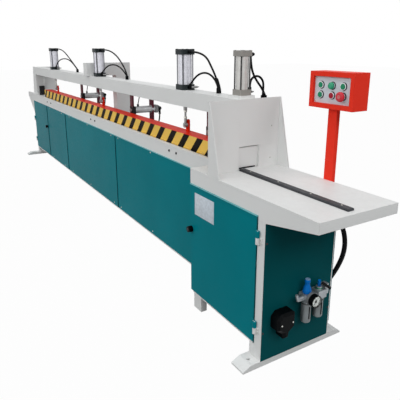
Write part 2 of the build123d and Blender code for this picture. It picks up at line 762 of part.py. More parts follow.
def gate_caps():
    z0 = gate_base_z()
    z1 = z0 + GATE_CAP_H + GATE_BARREL_H
    x = GATE_CYL_X
    base = square_cap(x, CHANNEL_Y, z0, z0 + GATE_CAP_H, GATE_CAP_W, GATE_CAP_EDGE_R)
    base -= bar_z(z0, z0 + GATE_CAP_H, x, CHANNEL_Y, GATE_ROD_R + FIT)
    top = square_cap(x, CHANNEL_Y, z1, z1 + GATE_CAP_H, GATE_CAP_W, GATE_CAP_EDGE_R)
    return [base, top, *tie_rods(x, CHANNEL_Y, z0 + GATE_CAP_H, z1, GATE_TIE_AT, GATE_TIE_R)]


def gate_barrel():
    z0 = gate_base_z() + GATE_CAP_H
    return barrel(GATE_CYL_X, CHANNEL_Y, z0, z0 + GATE_BARREL_H, GATE_BARREL_R, GATE_BORE_R)


def gate_rod():
    z0 = gate_base_z() + GATE_CAP_H + PISTON_REST
    piston = bar_z(z0, z0 + GATE_PISTON_H, GATE_CYL_X, CHANNEL_Y, GATE_BORE_R - SEAL_GAP)
    return piston + bar_z(GATE_Z[1], z0, GATE_CYL_X, CHANNEL_Y, GATE_ROD_R)


def gate():
    return block(GATE_X0, GATE_X1, CHANNEL_Y - GATE_W / 2, CHANNEL_Y + GATE_W / 2, *GATE_Z)


# Lock cylinders
def lock_y():
    front = BEAM_Y1 + LOCK_CAP_T
    return BEAM_Y1, front, front + LOCK_BARREL_L, front + LOCK_BARREL_L + LOCK_CAP_T


def lock_caps():
    y0, y1, y2, y3 = lock_y()
    half = LOCK_CAP_W / 2
    caps = []
    for x in LOCK_X:
        front = block(x - half, x + half, y0, y1, LOCK_Z - half, LOCK_Z + half)
        caps.append(front - bar_y(y0, y1, x, LOCK_Z, LOCK_ROD_R + FIT))
        caps.append(block(x - half, x + half, y2, y3, LOCK_Z - half, LOCK_Z + half))
    return caps


def lock_barrels():
    y1, y2 = lock_y()[1:3]
    barrels = []
    for x in LOCK_X:
        tube = bar_y(y1, y2, x, LOCK_Z, LOCK_BARREL_R)
        barrels.append(tube - bar_y(y1, y2, x, LOCK_Z, LOCK_BORE_R))
    return barrels


def lock_bolts():
    y0, y1 = lock_y()[:2]
    tip_y1 = y0 - LOCK_TIP_GAP
    piston_y = y1 + LOCK_PISTON_IN
    bolts = []
    for x in LOCK_X:
        bolts.append(joined([
            bar_y(tip_y1 - LOCK_TIP_L, tip_y1, x, LOCK_Z, LOCK_TIP_R),
            bar_y(tip_y1, piston_y, x, LOCK_Z, LOCK_ROD_R),
            bar_y(piston_y, piston_y + LOCK_PISTON_T, x, LOCK_Z, LOCK_BORE_R - SEAL_GAP),
        ]))
    return bolts


def lock_supports():
    half = LOCK_CAP_W / 2
    y1 = REAR_PLATE_Y + HANGER_T
    z0 = DECK_Z - REAR_SHELF_H
    pieces = []
    for x in LOCK_X:
        hx0, hx1 = x - HANGER_W / 2, x + HANGER_W / 2
        hanger = block(hx0, hx1, BEAM_Y1, BEAM_Y1 + HANGER_T, LOCK_Z + half, HANGER_Z1)
        plate = block(x - half, x + half, REAR_PLATE_Y, y1, z0, REAR_PLATE_Z1)
        plate += block(x - half, x + half, BED_Y1, y1, z0, DECK_Z)
        plate -= bar_y(REAR_PLATE_Y, y1, x, LOCK_Z, LOCK_BARREL_R + FIT)
        pieces += [hanger, plate]
    return pieces


# End ram
def ram_cylinder():
    x1 = FAR_PLATE_X0
    x0 = x1 - RAM_LENGTH
    body = bar_x(x0, x1, CHANNEL_Y, RAM_Z, RAM_R)
    body += bar_x(x1 - RAM_FLANGE_T, x1, CHANNEL_Y, RAM_Z, RAM_FLANGE_R)
    return body - bar_x(x0 + RAM_CAP_T, x1, CHANNEL_Y, RAM_Z, RAM_BORE_R)


def ram_head_x():
    return FAR_PLATE_X1 + RAM_HEAD_GAP


def ram_rod():
    x0 = FAR_PLATE_X0 - RAM_LENGTH + RAM_PISTON_BACK
    piston = bar_x(x0, x0 + RAM_PISTON_T, CHANNEL_Y, RAM_Z, RAM_BORE_R - SEAL_GAP)
    return piston + bar_x(x0, ram_head_x(), CHANNEL_Y, RAM_Z, RAM_ROD_R)


def ram_head():
    half = RAM_HEAD_W / 2
    x0 = ram_head_x()
    return block(x0, x0 + RAM_HEAD_T, CHANNEL_Y - half, CHANNEL_Y + half, *RAM_HEAD_Z)


# Control box
def control_post():
    x0, x1 = POST_BOX_X
    y0, y1 = TABLE_Y1, TABLE_Y1 + POST_BOX_D
    t = POST_BOX_T
    post = block(x0, x1, y0, y1, POST_BOX_Z0, BOX_Z[0])
    return post - block(x0 + t, x1 - t, y0 + t, y1 - t, POST_BOX_Z0, BOX_Z[0])


def plate_area(inset):
    return BOX_X[0] + inset, BOX_X[1] - inset, BOX_Z[0] + inset, BOX_Z[1] - inset


def panel_holes(shape, radius):
    for x in BUTTON_X:
        for z in BUTTON_Z:
            shape -= bar_y(BOX_Y0 - BOX_D, BOX_Y0 + BOX_D / 2, x, z, radius)
    return shape


def control_box():
    y1 = BOX_Y0 + BOX_D
    t = BOX_T
    x0, x1, z0, z1 = plate_area(PLATE_IN)
    box = block(*BOX_X, BOX_Y0, y1, *BOX_Z)
    box -= block(x0, x1, BOX_Y0 - t, BOX_Y0 + RECESS_D, z0, z1)
    box -= block(BOX_X[0] + t, BOX_X[1] - t, BOX_Y0 + BOX_FRONT_T, y1 - t, BOX_Z[0] + t, BOX_Z[1] - t)
    return panel_holes(box, BUTTON_R + SEAL_GAP)


def plate_y():
    return BOX_Y0 + RECESS_D - PLATE_T


def control_plate():
    x0, x1, z0, z1 = plate_area(PLATE_IN)
    return panel_holes(block(x0, x1, plate_y(), BOX_Y0 + RECESS_D, z0, z1), BUTTON_R + SEAL_GAP)


def bezels():
    y1 = plate_y()
    rings = []
    for x in BUTTON_X:
        for z in BUTTON_Z:
            ring = bar_y(y1 - BEZEL_H, y1, x, z, BEZEL_R)
            rings.append(ring - bar_y(y1 - BEZEL_H, y1, x, z, BUTTON_R + FIT))
    return rings


def push_button(x, z):
    front = plate_y() - BEZEL_H - BUTTON_OUT
    back = BOX_Y0 + BOX_FRONT_T + DOOR_GAP
    return bar_y(front, back, x, z, BUTTON_R) + bar_y(back, back + FLANGE_T, x, z, FLANGE_R)


def lamp():
    x, z = BUTTON_X[1], BUTTON_Z[0]
    y1 = plate_y() - BEZEL_H
    lens = bar_y(y1 - LAMP_H, y1, x, z, LAMP_R)
    front = lens.edges().sort_by(Axis.Y)[0]
    return fillet(front, LAMP_EDGE_R) + bar_y(y1, y1 + BUTTON_IN, x, z, BUTTON_R)


def stop_y():
    return plate_y() - BEZEL_H - STOP_GAP


def stop_plunger():
    x, z = BUTTON_X[2], BUTTON_Z[1]
    back = BOX_Y0 + BOX_FRONT_T + DOOR_GAP
    shaft = bar_y(stop_y() - STOP_SOCKET + DOOR_GAP, back, x, z, BUTTON_R)
    return shaft + bar_y(back, back + FLANGE_T, x, z, FLANGE_R)


def stop_head():
    x, z = BUTTON_X[2], BUTTON_Z[1]
    y1 = stop_y()
    head = bar_y(y1 - STOP_H, y1, x, z, STOP_R)
    head = fillet(head.edges().sort_by(Axis.Y)[0], STOP_EDGE_R)
    return head - bar_y(y1 - STOP_SOCKET, y1, x, z, BUTTON_R + FIT)


# Air preparation unit
def lever_y():
    return LUB_Y + AIR_D / 2 + VALVE_W / 2


def lever_z():
    return AIR_PORT_Z + VALVE_RISE


def air_body():
    x0, x1 = AIR_X - AIR_D / 2, AIR_X + AIR_D / 2
    half = AIR_D / 2
    z0, z1 = AIR_Z
    link_x = (AIR_X - LINK_W / 2, AIR_X + LINK_W / 2)
    link_z = (AIR_PORT_Z - LINK_H / 2, AIR_PORT_Z + LINK_H / 2)
    valve_z = (AIR_PORT_Z - VALVE_H / 2, AIR_PORT_Z + VALVE_H / 2)
    body = joined([
        block(x0, x1, REG_Y - half, REG_Y + half, z0, z1),
        block(x0, x1, LUB_Y - half, LUB_Y + half, z0, z1),
        block(*link_x, REG_Y, LUB_Y, *link_z),
        bar_y(REG_Y - half - STUB_L, REG_Y, AIR_X, AIR_PORT_Z, STUB_R),
        block(*link_x, LUB_Y, LUB_Y + half + VALVE_W, *valve_z),
        block(*link_x, LUB_Y + half, LUB_Y + half + VALVE_W, valve_z[0], valve_z[1] + VALVE_RISE),
        block(END_X, x0, REG_Y, LUB_Y, *link_z),
        bar_z(z1, z1 + SPIGOT_H, AIR_X, REG_Y, SPIGOT_R),
        bar_z(z1, z1 + LUB_DOME_H, AIR_X, LUB_Y, LUB_DOME_R),
        bar_z(z1, z1 + LUB_DOME_H + DRIP_PIN_H, AIR_X, LUB_Y, DRIP_PIN_R),
    ])
    face = AIR_X + LINK_W / 2
    return body - bar_x(face - LEVER_SOCKET, face, lever_y(), lever_z(), LEVER_STEM_R + FIT)


def bowl(y, z0):
    top = AIR_Z[0]
    body = bar_z(z0, top, AIR_X, y, BOWL_R)
    body = fillet(body.edges().sort_by(Axis.Z)[0], BOWL_EDGE_R)
    body += bar_z(top - BOWL_COLLAR_H, top, AIR_X, y, BOWL_COLLAR_R)
    body += bar_z(z0 - DRAIN_H, z0, AIR_X, y, DRAIN_R)
    x1 = AIR_X + BOWL_R
    z1 = top - SLOT_DOWN
    return body - block(x1 - SLOT_D, x1 + SLOT_D, y - SLOT_W / 2, y + SLOT_W / 2, z1 - SLOT_H, z1)


def regulator_knob():
    z0 = AIR_Z[1] + DOOR_GAP
    z1 = z0 + REG_KNOB_H
    skirt = z0 + REG_KNOB_SKIRT
    neck = z0 + REG_KNOB_NECK
    outline = [(0, z0), (REG_KNOB_R, z0), (REG_KNOB_R, skirt)]
    outline += [(REG_KNOB_TOP_R, neck), (REG_KNOB_TOP_R, z1), (0, z1)]
    profile = make_face(Polyline(*[(r, 0, z) for r, z in outline], close=True))
    knob = Pos(AIR_X, REG_Y, 0) * revolve(profile, Axis.Z)
    return knob - bar_z(z0, AIR_Z[1] + SPIGOT_H + DOOR_GAP, AIR_X, REG_Y, SPIGOT_R + FIT)


def drip_knob():
    dome = AIR_Z[1] + LUB_DOME_H
    knob = bar_z(dome + DOOR_GAP, dome + DOOR_GAP + LUB_KNOB_H, AIR_X, LUB_Y, LUB_KNOB_R)
    return knob - bar_z(dome, dome + DRIP_PIN_H + DOOR_GAP, AIR_X, LUB_Y, DRIP_PIN_R + FIT)


def gauge_x():
    return AIR_X + AIR_D / 2, AIR_X + AIR_D / 2 + GAUGE_D


def gauge_case():
    x0, x1 = gauge_x()
    dial = x1 - GAUGE_WELL
    case = bar_x(x0, x1, REG_Y, GAUGE_Z, GAUGE_R) - bar_x(dial, x1, REG_Y, GAUGE_Z, GAUGE_R - GAUGE_RIM)
    return case + bar_x(x0, dial + POINTER_PIN_L, REG_Y, GAUGE_Z, POINTER_PIN_R)


def gauge_glass():
    x1 = gauge_x()[1] - GLASS_IN
    return bar_x(x1 - GLASS_T, x1, REG_Y, GAUGE_Z, GAUGE_R - GAUGE_RIM)


def gauge_pointer():
    x0 = gauge_x()[1] - GAUGE_WELL + DOOR_GAP
    hub = bar_x(x0, x0 + POINTER_T, REG_Y, GAUGE_Z, POINTER_HUB_R)
    needle = block(x0, x0 + POINTER_T, -POINTER_W / 2, POINTER_W / 2, 0, POINTER_L)
    body = hub + Pos(0, REG_Y, GAUGE_Z) * Rot(POINTER_REST, 0, 0) * needle
    return body - bar_x(x0, x0 + POINTER_T, REG_Y, GAUGE_Z, POINTER_PIN_R + FIT)


def shutoff_lever():
    x0 = AIR_X + LINK_W / 2 - LEVER_SOCKET + DOOR_GAP
    y = lever_y()
    x1 = AIR_X + AIR_D / 2 + LEVER_STEM
    stem = bar_x(x0, x1, y, lever_z(), LEVER_STEM_R)
    arm = block(x1, x1 + LEVER_T, -LEVER_W / 2, LEVER_L, -LEVER_W / 2, LEVER_W / 2)
    return stem + Pos(0, y, lever_z()) * Rot(LEVER_ANGLE, 0, 0) * arm


def power_inlet():
    y0, y1 = INLET_Y
    z0, z1 = INLET_Z
    c = INLET_CORNER
    middle = (y0 + y1) / 2
    s = INLET_SPOUT_W / 2
    outline = [
        (y0, z0 + c),
        (y0, z1 - c),
        (y0 + c, z1),
        (y1 - c / 2, z1),
        (y1, z1 - c / 2),
        (y1, z0 + c),
        (middle + s, z0),
        (middle + INLET_TIP_W / 2, INLET_SPOUT_Z),
        (middle - INLET_TIP_W / 2, INLET_SPOUT_Z),
        (middle - s, z0),
    ]
    body = plate_yz(outline, END_X, END_X + INLET_D)
    return chamfer(body.faces().sort_by(Axis.X)[-1].edges(), INLET_EDGE)


def oil_tank():
    z0 = PANEL_Z0 + RAIL_H
    z1 = z0 + TANK_H - LID_T
    x0, x1 = TANK_X
    y0, y1 = TANK_Y
    t = TANK_T
    return block(x0, x1, y0, y1, z0, z1) - block(x0 + t, x1 - t, y0 + t, y1 - t, z0 + t, z1)


def pump_motor():
    z0 = PANEL_Z0 + RAIL_H + TANK_H
    x = (TANK_X[0] + TANK_X[1]) / 2
    y = (TANK_Y[0] + TANK_Y[1]) / 2
    return block(*TANK_X, *TANK_Y, z0 - LID_T, z0) + bar_z(z0, z0 + MOTOR_H, x, y, MOTOR_R)


# Hoses: straight runs joined by tangent arcs
def bend_radii(points):
    radii = []
    for a, b, c in zip(points, points[1:], points[2:]):
        u = Vector(*b) - Vector(*a)
        w = Vector(*c) - Vector(*b)
        turn = math.radians(u.get_angle(w))
        radii.append(BEND_SHARE * min(u.length, w.length) / math.tan(turn / 2))
    return radii


def tube(points, r):
    path = FilletPolyline(*points, radius=bend_radii(points))
    start = Plane(origin=path @ 0, z_dir=path % 0)
    return sweep(start * Circle(r), path)


def press_port(x):
    return x + CAP_W / 2 + PORT_OUT


UPPER_Z = BEAM_Z[1] + BARREL_H + CAP_H * 1.5
LOWER_Z = BEAM_Z[1] + CAP_H / 2
LOWER_END_Z = LOWER_Z + PORT_OUT
SLEEVE_AT = ((-946.5, 49.0), (455.5, 50.0), (1866.0, 48.0))
HOSE_PAIR = 6.5

UPPER_RUNS = (
    ((-1570.0, 10.0, 1476.0), (-1440.0, 18.0, 1467.0), (-1330.0, 25.0, 1443.0),
     (-1210.0, 33.0, 1390.0), (-1060.0, 41.0, 1320.0)),
    ((50.0, 12.0, 1474.0), (190.0, 26.0, 1456.0), (300.0, 37.0, 1411.0),
     (380.0, 44.0, 1352.0), (435.0, 49.0, 1301.0)),
    ((1668.0, 12.0, 1464.0), (1748.0, 29.0, 1436.0), (1795.0, 37.0, 1374.0), (1840.0, 44.0, 1317.0)),
)
LOWER_RUNS = (
    ((-1610.0, 9.0, 1312.0), (-1500.0, 15.0, 1350.0), (-1370.0, 23.0, 1366.0), (-1230.0, 31.0, 1362.0),
     (-1130.0, 37.0, 1339.0), (-1035.0, 43.0, 1302.0)),
    ((20.0, 10.0, 1298.0), (110.0, 19.0, 1335.0), (225.0, 30.0, 1347.0),
     (330.0, 39.0, 1329.0), (405.0, 46.0, 1293.0)),
    ((1634.0, 10.0, 1306.0), (1683.0, 19.0, 1336.0), (1745.0, 29.0, 1343.0),
     (1800.0, 37.0, 1325.0), (1836.0, 44.0, 1292.0)),
)


def press_hoses():
    hoses = []
    for x, upper, lower, (sx, sy) in zip(PRESS_X, UPPER_RUNS, LOWER_RUNS, SLEEVE_AT):
        start = press_port(x)
        hoses.append(tube([(start, CHANNEL_Y, UPPER_Z), *upper, (sx + HOSE_PAIR, sy, SLEEVE_Z)], HOSE_R))
        hoses.append(tube([(start, CHANNEL_Y, LOWER_END_Z), *lower, (sx - HOSE_PAIR, sy, SLEEVE_Z)], HOSE_R))
    return hoses


GATE_PORT_X = 2165.0
GATE_PORT_OUT = 10.0
GATE_PORT_Y = CHANNEL_Y + GATE_CAP_W / 2 + GATE_PORT_OUT
GATE_PORT_RISE = 24.5
GATE_PORT_DROP = 18.0
GATE_LOW_PORT_Z = BEAM_Z[1] + GATE_PLATE_T + GATE_CAP_H / 2
GATE_TOP_PORT_Z = GATE_LOW_PORT_Z + GATE_CAP_H + GATE_BARREL_H
GATE_LOWER_Z = GATE_LOW_PORT_Z + GATE_PORT_RISE
GATE_UPPER_Z = GATE_TOP_PORT_Z - GATE_PORT_DROP
GATE_SLEEVE = (2176.0, 141.5)
GATE_SLEEVE_Z = (1190.0, 1238.0)
GATE_SLEEVE_R = 17.0
GATE_HOSE_PAIR = 7.5
GATE_UPPER = ((2166.0, 55.0, 1402.0), (2168.0, 68.0, 1355.0), (2171.0, 98.0, 1310.0), (2174.0, 130.0, 1275.0))
GATE_LOWER = ((2165.0, 52.0, 1318.0), (2167.0, 76.0, 1342.0), (2170.0, 110.0, 1342.0),
              (2173.0, 134.0, 1318.0),
              (2175.0, 137.0, 1288.0), (2176.0, 135.0, 1260.0))


def gate_hoses():
    sx, sy = GATE_SLEEVE
    z = GATE_SLEEVE_Z[1]
    upper = [(GATE_PORT_X, GATE_PORT_Y, GATE_UPPER_Z), *GATE_UPPER, (sx, sy + GATE_HOSE_PAIR, z)]
    lower = [(GATE_PORT_X, GATE_PORT_Y, GATE_LOWER_Z), *GATE_LOWER, (sx, sy - GATE_HOSE_PAIR, z)]
    return [tube(upper, HOSE_R), tube(lower, HOSE_R)]


LOCK_HOSE_Z = 800.0
LOCK_HOSE_OUT = 20.0
LOCK_PORT_Y = 130.0
LOCK_PORT_H = 18.0
BEAM_PORT_DX = 59.0
BEAM_PORT_Z = 1165.0
BEAM_PORT_L = 16.0
LOCK_REAR_RUN = ((-2.0, 870.0), (-26.0, 821.0), (-70.0, 801.0))
LOCK_FRONT_RUN = ((55.0, 46.0, 1160.0), (39.0, 64.0, 1120.0), (19.0, 66.0, 1062.0))


def elbow_y():
    return lock_y()[3] + ELBOW_STUB


def lock_hoses():
    hoses = []
    y = elbow_y()
    top = LOCK_Z + LOCK_BARREL_R
    for x in LOCK_X:
        rear = [(x, y, LOCK_Z - ELBOW_DROP - ELBOW_R)]
        rear += [(x, y + dy, z) for dy, z in LOCK_REAR_RUN]
        rear.append((x, BED_Y1 + LOCK_HOSE_OUT, LOCK_HOSE_Z))
        front = [(x + BEAM_PORT_DX, BEAM_Y1 + BEAM_PORT_L, BEAM_PORT_Z)]
        front += [(x + dx, BEAM_Y1 + dy, z) for dx, dy, z in LOCK_FRONT_RUN]
        front.append((x, LOCK_PORT_Y, top + LOCK_PORT_H))
        hoses.append(tube(rear, HOSE_R))
        hoses.append(tube(front, SMALL_HOSE_R))
    return hoses


def hose_fittings():
    pieces = []
    for x, (sx, sy) in zip(PRESS_X, SLEEVE_AT):
        face, port = x + CAP_W / 2, press_port(x)
        pieces.append(bar_x(face, port, CHANNEL_Y, UPPER_Z, PORT_R))
        elbow = bar_x(face, port, CHANNEL_Y, LOWER_Z, PORT_R) + Pos(port, CHANNEL_Y, LOWER_Z) * Sphere(PORT_R)
        pieces.append(elbow + bar_z(LOWER_Z, LOWER_END_Z, port, CHANNEL_Y, PORT_R))
        pieces.append(bar_z(BEAM_Z[1], SLEEVE_Z, sx, sy, SLEEVE_R))
    face = CHANNEL_Y + GATE_CAP_W / 2
    for z0, z1 in ((GATE_TOP_PORT_Z, GATE_UPPER_Z), (GATE_LOW_PORT_Z, GATE_LOWER_Z)):
        elbow = bar_y(face, GATE_PORT_Y, GATE_PORT_X, z0, PORT_R)
        elbow += Pos(GATE_PORT_X, GATE_PORT_Y, z0) * Sphere(PORT_R)
        elbow += bar_z(min(z0, z1), max(z0, z1), GATE_PORT_X, GATE_PORT_Y, PORT_R)
        px0, px1 = GATE_PORT_X - CAP_W, GATE_PORT_X + CAP_W
        pieces.append(elbow - block(px0, px1, CHANNEL_Y, face, z0 - CAP_W, z0 + CAP_W))
    sx, sy = GATE_SLEEVE
    r = GATE_SLEEVE_R
    sleeve = bar_z(*GATE_SLEEVE_Z, sx, sy, r)
    sz = GATE_SLEEVE_Z[0]
    pieces.append(sleeve + block(sx, TOWER_X0, sy - r / 2, sy + r / 2, sz, sz + r))
    y3, y = lock_y()[3], elbow_y()
    top = LOCK_Z + LOCK_BARREL_R
    for x in LOCK_X:
        elbow = bar_y(y3, y, x, LOCK_Z, PORT_R) + Pos(x, y, LOCK_Z) * Sphere(ELBOW_R)
        pieces.append(elbow + bar_z(LOCK_Z - ELBOW_DROP - ELBOW_R, LOCK_Z, x, y, PORT_R))
        pieces.append(bar_y(BED_Y1, BED_Y1 + LOCK_HOSE_OUT, x, LOCK_HOSE_Z, PORT_R))
        stud = bar_z(LOCK_Z + LOCK_BORE_R, top + LOCK_PORT_H, x, LOCK_PORT_Y, PORT_R)
        pieces.append(stud - bar_y(LOCK_PORT_Y - CAP_W, LOCK_PORT_Y + CAP_W, x, LOCK_Z, LOCK_BARREL_R))
        pieces.append(bar_y(BEAM_Y1, BEAM_Y1 + BEAM_PORT_L, x + BEAM_PORT_DX, BEAM_PORT_Z, PORT_R))
    x0, x1, z0, z1 = CONDUIT_BOX
    back = CAB_Y1 + PANEL_T
    pieces.append(block(x0, x1, back, back + CONDUIT_BOX_D, z0, z1))
    return pieces


CONDUIT_RUN = ((2666.0, 700.0), (2726.0, 632.0), (2748.0, 565.0), (2744.0, 495.0),
               (2724.0, 420.0), (2690.0, 345.0), (2645.0, 280.0))


def conduit():
    start = (CONDUIT_X, CONDUIT_Y, POST_BOX_Z0 - CONDUIT_GAP)
    end = ((CONDUIT_BOX[0] + CONDUIT_BOX[1]) / 2, CONDUIT_Y, CONDUIT_BOX[3])
    return tube([start, *[(x, CONDUIT_Y, z) for x, z in CONDUIT_RUN], end], CONDUIT_R)


save("bed", *bed())
save("bed_stand", *stand())
save("far_foot", foot(STAND_X0, *FAR_FOOT_Y))
save("near_foot", foot(CAB_X1 - FOOT_W, *NEAR_FOOT_Y))
save("cabinet_frame", *cabinet_frame())
save("infeed_table", *infeed_table())
save("guide_strip", guide_strip())
save("near_tower", *near_tower())
save("far_tower", *far_tower())
save("top_beam", *top_beam())
save("rear_column", *rear_column())
save("front_panels", *front_panels())
save("rear_panels", *rear_panels())
save("cabinet_panels", *cabinet_panels())
save("end_panel", end_panel())
save("near_door", *near_door())
save("far_door", *far_door())
save("hinge_pins", *hinge_pins())
NEAR_CAM_Y = CAB_Y0 + APRON_T + KEEPER_T + PANEL_GAP
save("near_knob", latch_knob(NEAR_KNOB, CAB_Y0, NEAR_CAM_Y, NEAR_CAM_L, NEAR_CAM_TURN))
save("far_knob", latch_knob(FAR_KNOB, BED_Y0, STAND_Y0 + ANGLE_T + PANEL_GAP, FAR_CAM_L, FAR_CAM_TURN))
save("press_caps", *press_caps())
save("press_barrels", *press_barrels())
save("press_rods", *press_rods())
save("rod_eyes", *rod_eyes())
save("eye_pins", *eye_pins())
save("press_beam", *press_beam())
save("gate_caps", *gate_caps())
save("gate_barrel", gate_barrel())
save("gate_rod", gate_rod())
save("gate", gate())
save("lock_caps", *lock_caps())
save("lock_barrels", *lock_barrels())
save("lock_bolts", *lock_bolts())
save("lock_supports", *lock_supports())
save("ram_cylinder", ram_cylinder())
save("ram_rod", ram_rod())
save("ram_head", ram_head())
save("control_post", control_post())
save("control_box", control_box())
save("control_plate", control_plate())
save("bezels", *bezels())
save("lamp", lamp())
save("button_1", push_button(BUTTON_X[0], BUTTON_Z[0]))
save("button_2", push_button(BUTTON_X[2], BUTTON_Z[0]))
save("button_3", push_button(BUTTON_X[0], BUTTON_Z[1]))
save("button_4", push_button(BUTTON_X[1], BUTTON_Z[1]))
save("stop_plunger", stop_plunger())
save("stop_head", stop_head())
save("air_body", air_body())
save("air_bowls", bowl(REG_Y, REG_BOWL_Z), bowl(LUB_Y, LUB_BOWL_Z))
save("regulator_knob", regulator_knob())
save("drip_knob", drip_knob())
save("gauge_case", gauge_case())
save("gauge_glass", gauge_glass())
save("gauge_pointer", gauge_pointer())
save("shutoff_lever", shutoff_lever())
save("power_inlet", power_inlet())
save("oil_unit", oil_tank(), pump_motor())
save("hoses", *press_hoses(), *gate_hoses(), *lock_hoses(), conduit())
save("hose_fittings", *hose_fittings())
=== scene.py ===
# %% [markdown]
# # A finger joint press, dressed over its solids
# The machine presses glued boards together end to end. Timber goes in over the infeed
# table, lies in the long channel, and is held down by the striped beam while a ram pushes
# from the far end. The solids already have the right sizes and joints, so this lesson adds
# what solids lack: paint, metal, rubber hoses, fasteners and small fittings.

# %% Load the solids
import math

import bmesh
import bpy
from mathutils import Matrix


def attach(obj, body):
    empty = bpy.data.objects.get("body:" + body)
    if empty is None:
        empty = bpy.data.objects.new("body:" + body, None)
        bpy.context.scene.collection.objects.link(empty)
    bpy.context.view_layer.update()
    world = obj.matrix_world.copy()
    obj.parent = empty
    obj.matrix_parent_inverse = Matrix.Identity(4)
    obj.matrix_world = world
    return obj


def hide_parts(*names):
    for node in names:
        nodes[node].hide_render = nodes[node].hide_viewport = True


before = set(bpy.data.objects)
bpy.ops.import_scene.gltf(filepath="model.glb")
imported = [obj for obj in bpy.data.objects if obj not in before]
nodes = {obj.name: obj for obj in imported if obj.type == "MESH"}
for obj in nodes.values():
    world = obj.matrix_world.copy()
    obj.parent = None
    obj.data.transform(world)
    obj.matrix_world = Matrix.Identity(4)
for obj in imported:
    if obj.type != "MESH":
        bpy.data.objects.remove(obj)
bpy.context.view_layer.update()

# %% [markdown]
# ## Camera
# The photograph looks along the machine from the infeed end, a little above the control
# box. A camera could be aimed at a target, but a worked-out place and angle repeats
# exactly, so the lens, place and turn are given as numbers. The small shift only
# reproduces the way the picture was cropped.

# %% Camera
CAMERA_AT = (4.1729, -1.4817, 1.4919)
CAMERA_TILT = math.radians(74.57)
CAMERA_TURN = math.radians(58.67)
LENS = 41.29
CROP_SHIFT = (-0.0015, -0.065)
bpy.ops.object.select_all(action="DESELECT")
bpy.ops.object.camera_add(location=CAMERA_AT, rotation=(CAMERA_TILT, 0.0, CAMERA_TURN))
camera = bpy.context.object
camera.data.lens = LENS
camera.data.shift_x, camera.data.shift_y = CROP_SHIFT
camera.data.clip_end = 200.0
bpy.context.scene.camera = camera
bpy.context.scene.view_settings.view_transform = "Standard"
print("camera", [round(v, 3) for v in camera.location], camera.data.lens)

# %% [markdown]
# ## Light and floor
# The press stands in even light on white, with its top faces brightest and its end in
# soft shade. Three large softboxes and a dim surrounding give that without hard shadows. A
# pure white ground would need far too much light, so Light Path shows white only to the
# eye, to reflections and through glass, and the floor still takes a faint shadow.


# %% Node helpers
def add(tree, kind, inputs=None, **settings):
    node = tree.nodes.new(kind)
    for key, value in settings.items():
        setattr(node, key, value)
    for key, value in (inputs or {}).items():
        if isinstance(value, bpy.types.NodeSocket):
            tree.links.new(value, node.inputs[key])
        else:
            node.inputs[key].default_value = value
    return node


def calc(tree, operation, *values, **settings):
    return add(tree, "ShaderNodeMath", dict(enumerate(values)), operation=operation, **settings).outputs[0]


def ranged(tree, value, low, high, to_low=0.0, to_high=1.0):
    return add(tree, "ShaderNodeMapRange", {0: value, 1: low, 2: high, 3: to_low, 4: to_high}).outputs[0]


def axes(tree, vector):
    return add(tree, "ShaderNodeSeparateXYZ", {0: vector}).outputs


def seen_directly(tree):
    path = add(tree, "ShaderNodeLightPath").outputs
    gloss = calc(tree, "MAXIMUM", path["Is Camera Ray"], path["Is Glossy Ray"])
    return calc(tree, "MAXIMUM", gloss, path["Is Transmission Ray"])


# %% World
WHITE = (1.0, 1.0, 1.0, 1.0)
SKY_TINT = (0.95, 0.98, 1.0, 1.0)
SKY_LOW, SKY_HIGH = 0.06, 0.5
world = bpy.data.worlds.new("studio")
bpy.context.scene.world = world
world.use_nodes = True
sky = world.node_tree
sky.nodes.clear()
way = axes(sky, add(sky, "ShaderNodeTexCoord").outputs["Generated"])
height = ranged(sky, way["Z"], 0.0, 1.0, SKY_LOW, SKY_HIGH)
around = add(sky, "ShaderNodeBackground", {"Color": SKY_TINT, "Strength": height})
white = add(sky, "ShaderNodeBackground", {"Color": WHITE, "Strength": 1.0})
both = add(sky, "ShaderNodeMixShader", {0: seen_directly(sky), 1: around.outputs[0], 2: white.outputs[0]})
add(sky, "ShaderNodeOutputWorld", {"Surface": both.outputs[0]})
print("world with", len(sky.nodes), "nodes")

# %% Softboxes
LAMPS = (
    ("overhead_softbox", (-0.4, -1.2, 5.5), (12.0, 0.0, 0.0), (7.0, 2.5), 62.0),
    ("infeed_softbox", (7.0, -0.4, 4.4), (0.0, 48.0, 0.0), (2.4, 6.0), 160.0),
    ("front_softbox", (1.4, -7.5, 4.2), (64.0, 0.0, 6.0), (12.0, 4.0), 308.0),
)
for name, place, turn, size, power in LAMPS:
    bpy.ops.object.light_add(type="AREA", location=place, rotation=[math.radians(a) for a in turn])
    lamp = bpy.context.object
    lamp.name = name
    lamp.data.shape = "RECTANGLE"
    lamp.data.size, lamp.data.size_y = size
    lamp.data.energy = power
    print(name, power, "W")

# %% Floor
FLOOR_WIDE = 60.0
FLOOR_WHITE = 0.98
FLOOR_TONES = (0.22, 0.25)
bpy.ops.mesh.primitive_plane_add(size=FLOOR_WIDE)
floor = bpy.context.object
floor.name = "floor"
ground = bpy.data.materials.new("pale_floor")
ground.use_nodes = True
tree = ground.node_tree
tree.nodes.clear()
grain = add(tree, "ShaderNodeTexNoise", {"Scale": 6.0, "Detail": 3.0}).outputs[0]
matt = add(tree, "ShaderNodeBsdfDiffuse", {"Color": ranged(tree, grain, 0.0, 1.0, *FLOOR_TONES)})
glow = add(tree, "ShaderNodeEmission", {"Color": WHITE, "Strength": 1.0})
share = calc(tree, "MULTIPLY", seen_directly(tree), FLOOR_WHITE)
shown = add(tree, "ShaderNodeMixShader", {0: share, 1: matt.outputs[0], 2: glow.outputs[0]})
add(tree, "ShaderNodeOutputMaterial", {"Surface": shown.outputs[0]})
floor.data.materials.append(ground)
print("floor", FLOOR_WIDE, "m wide")

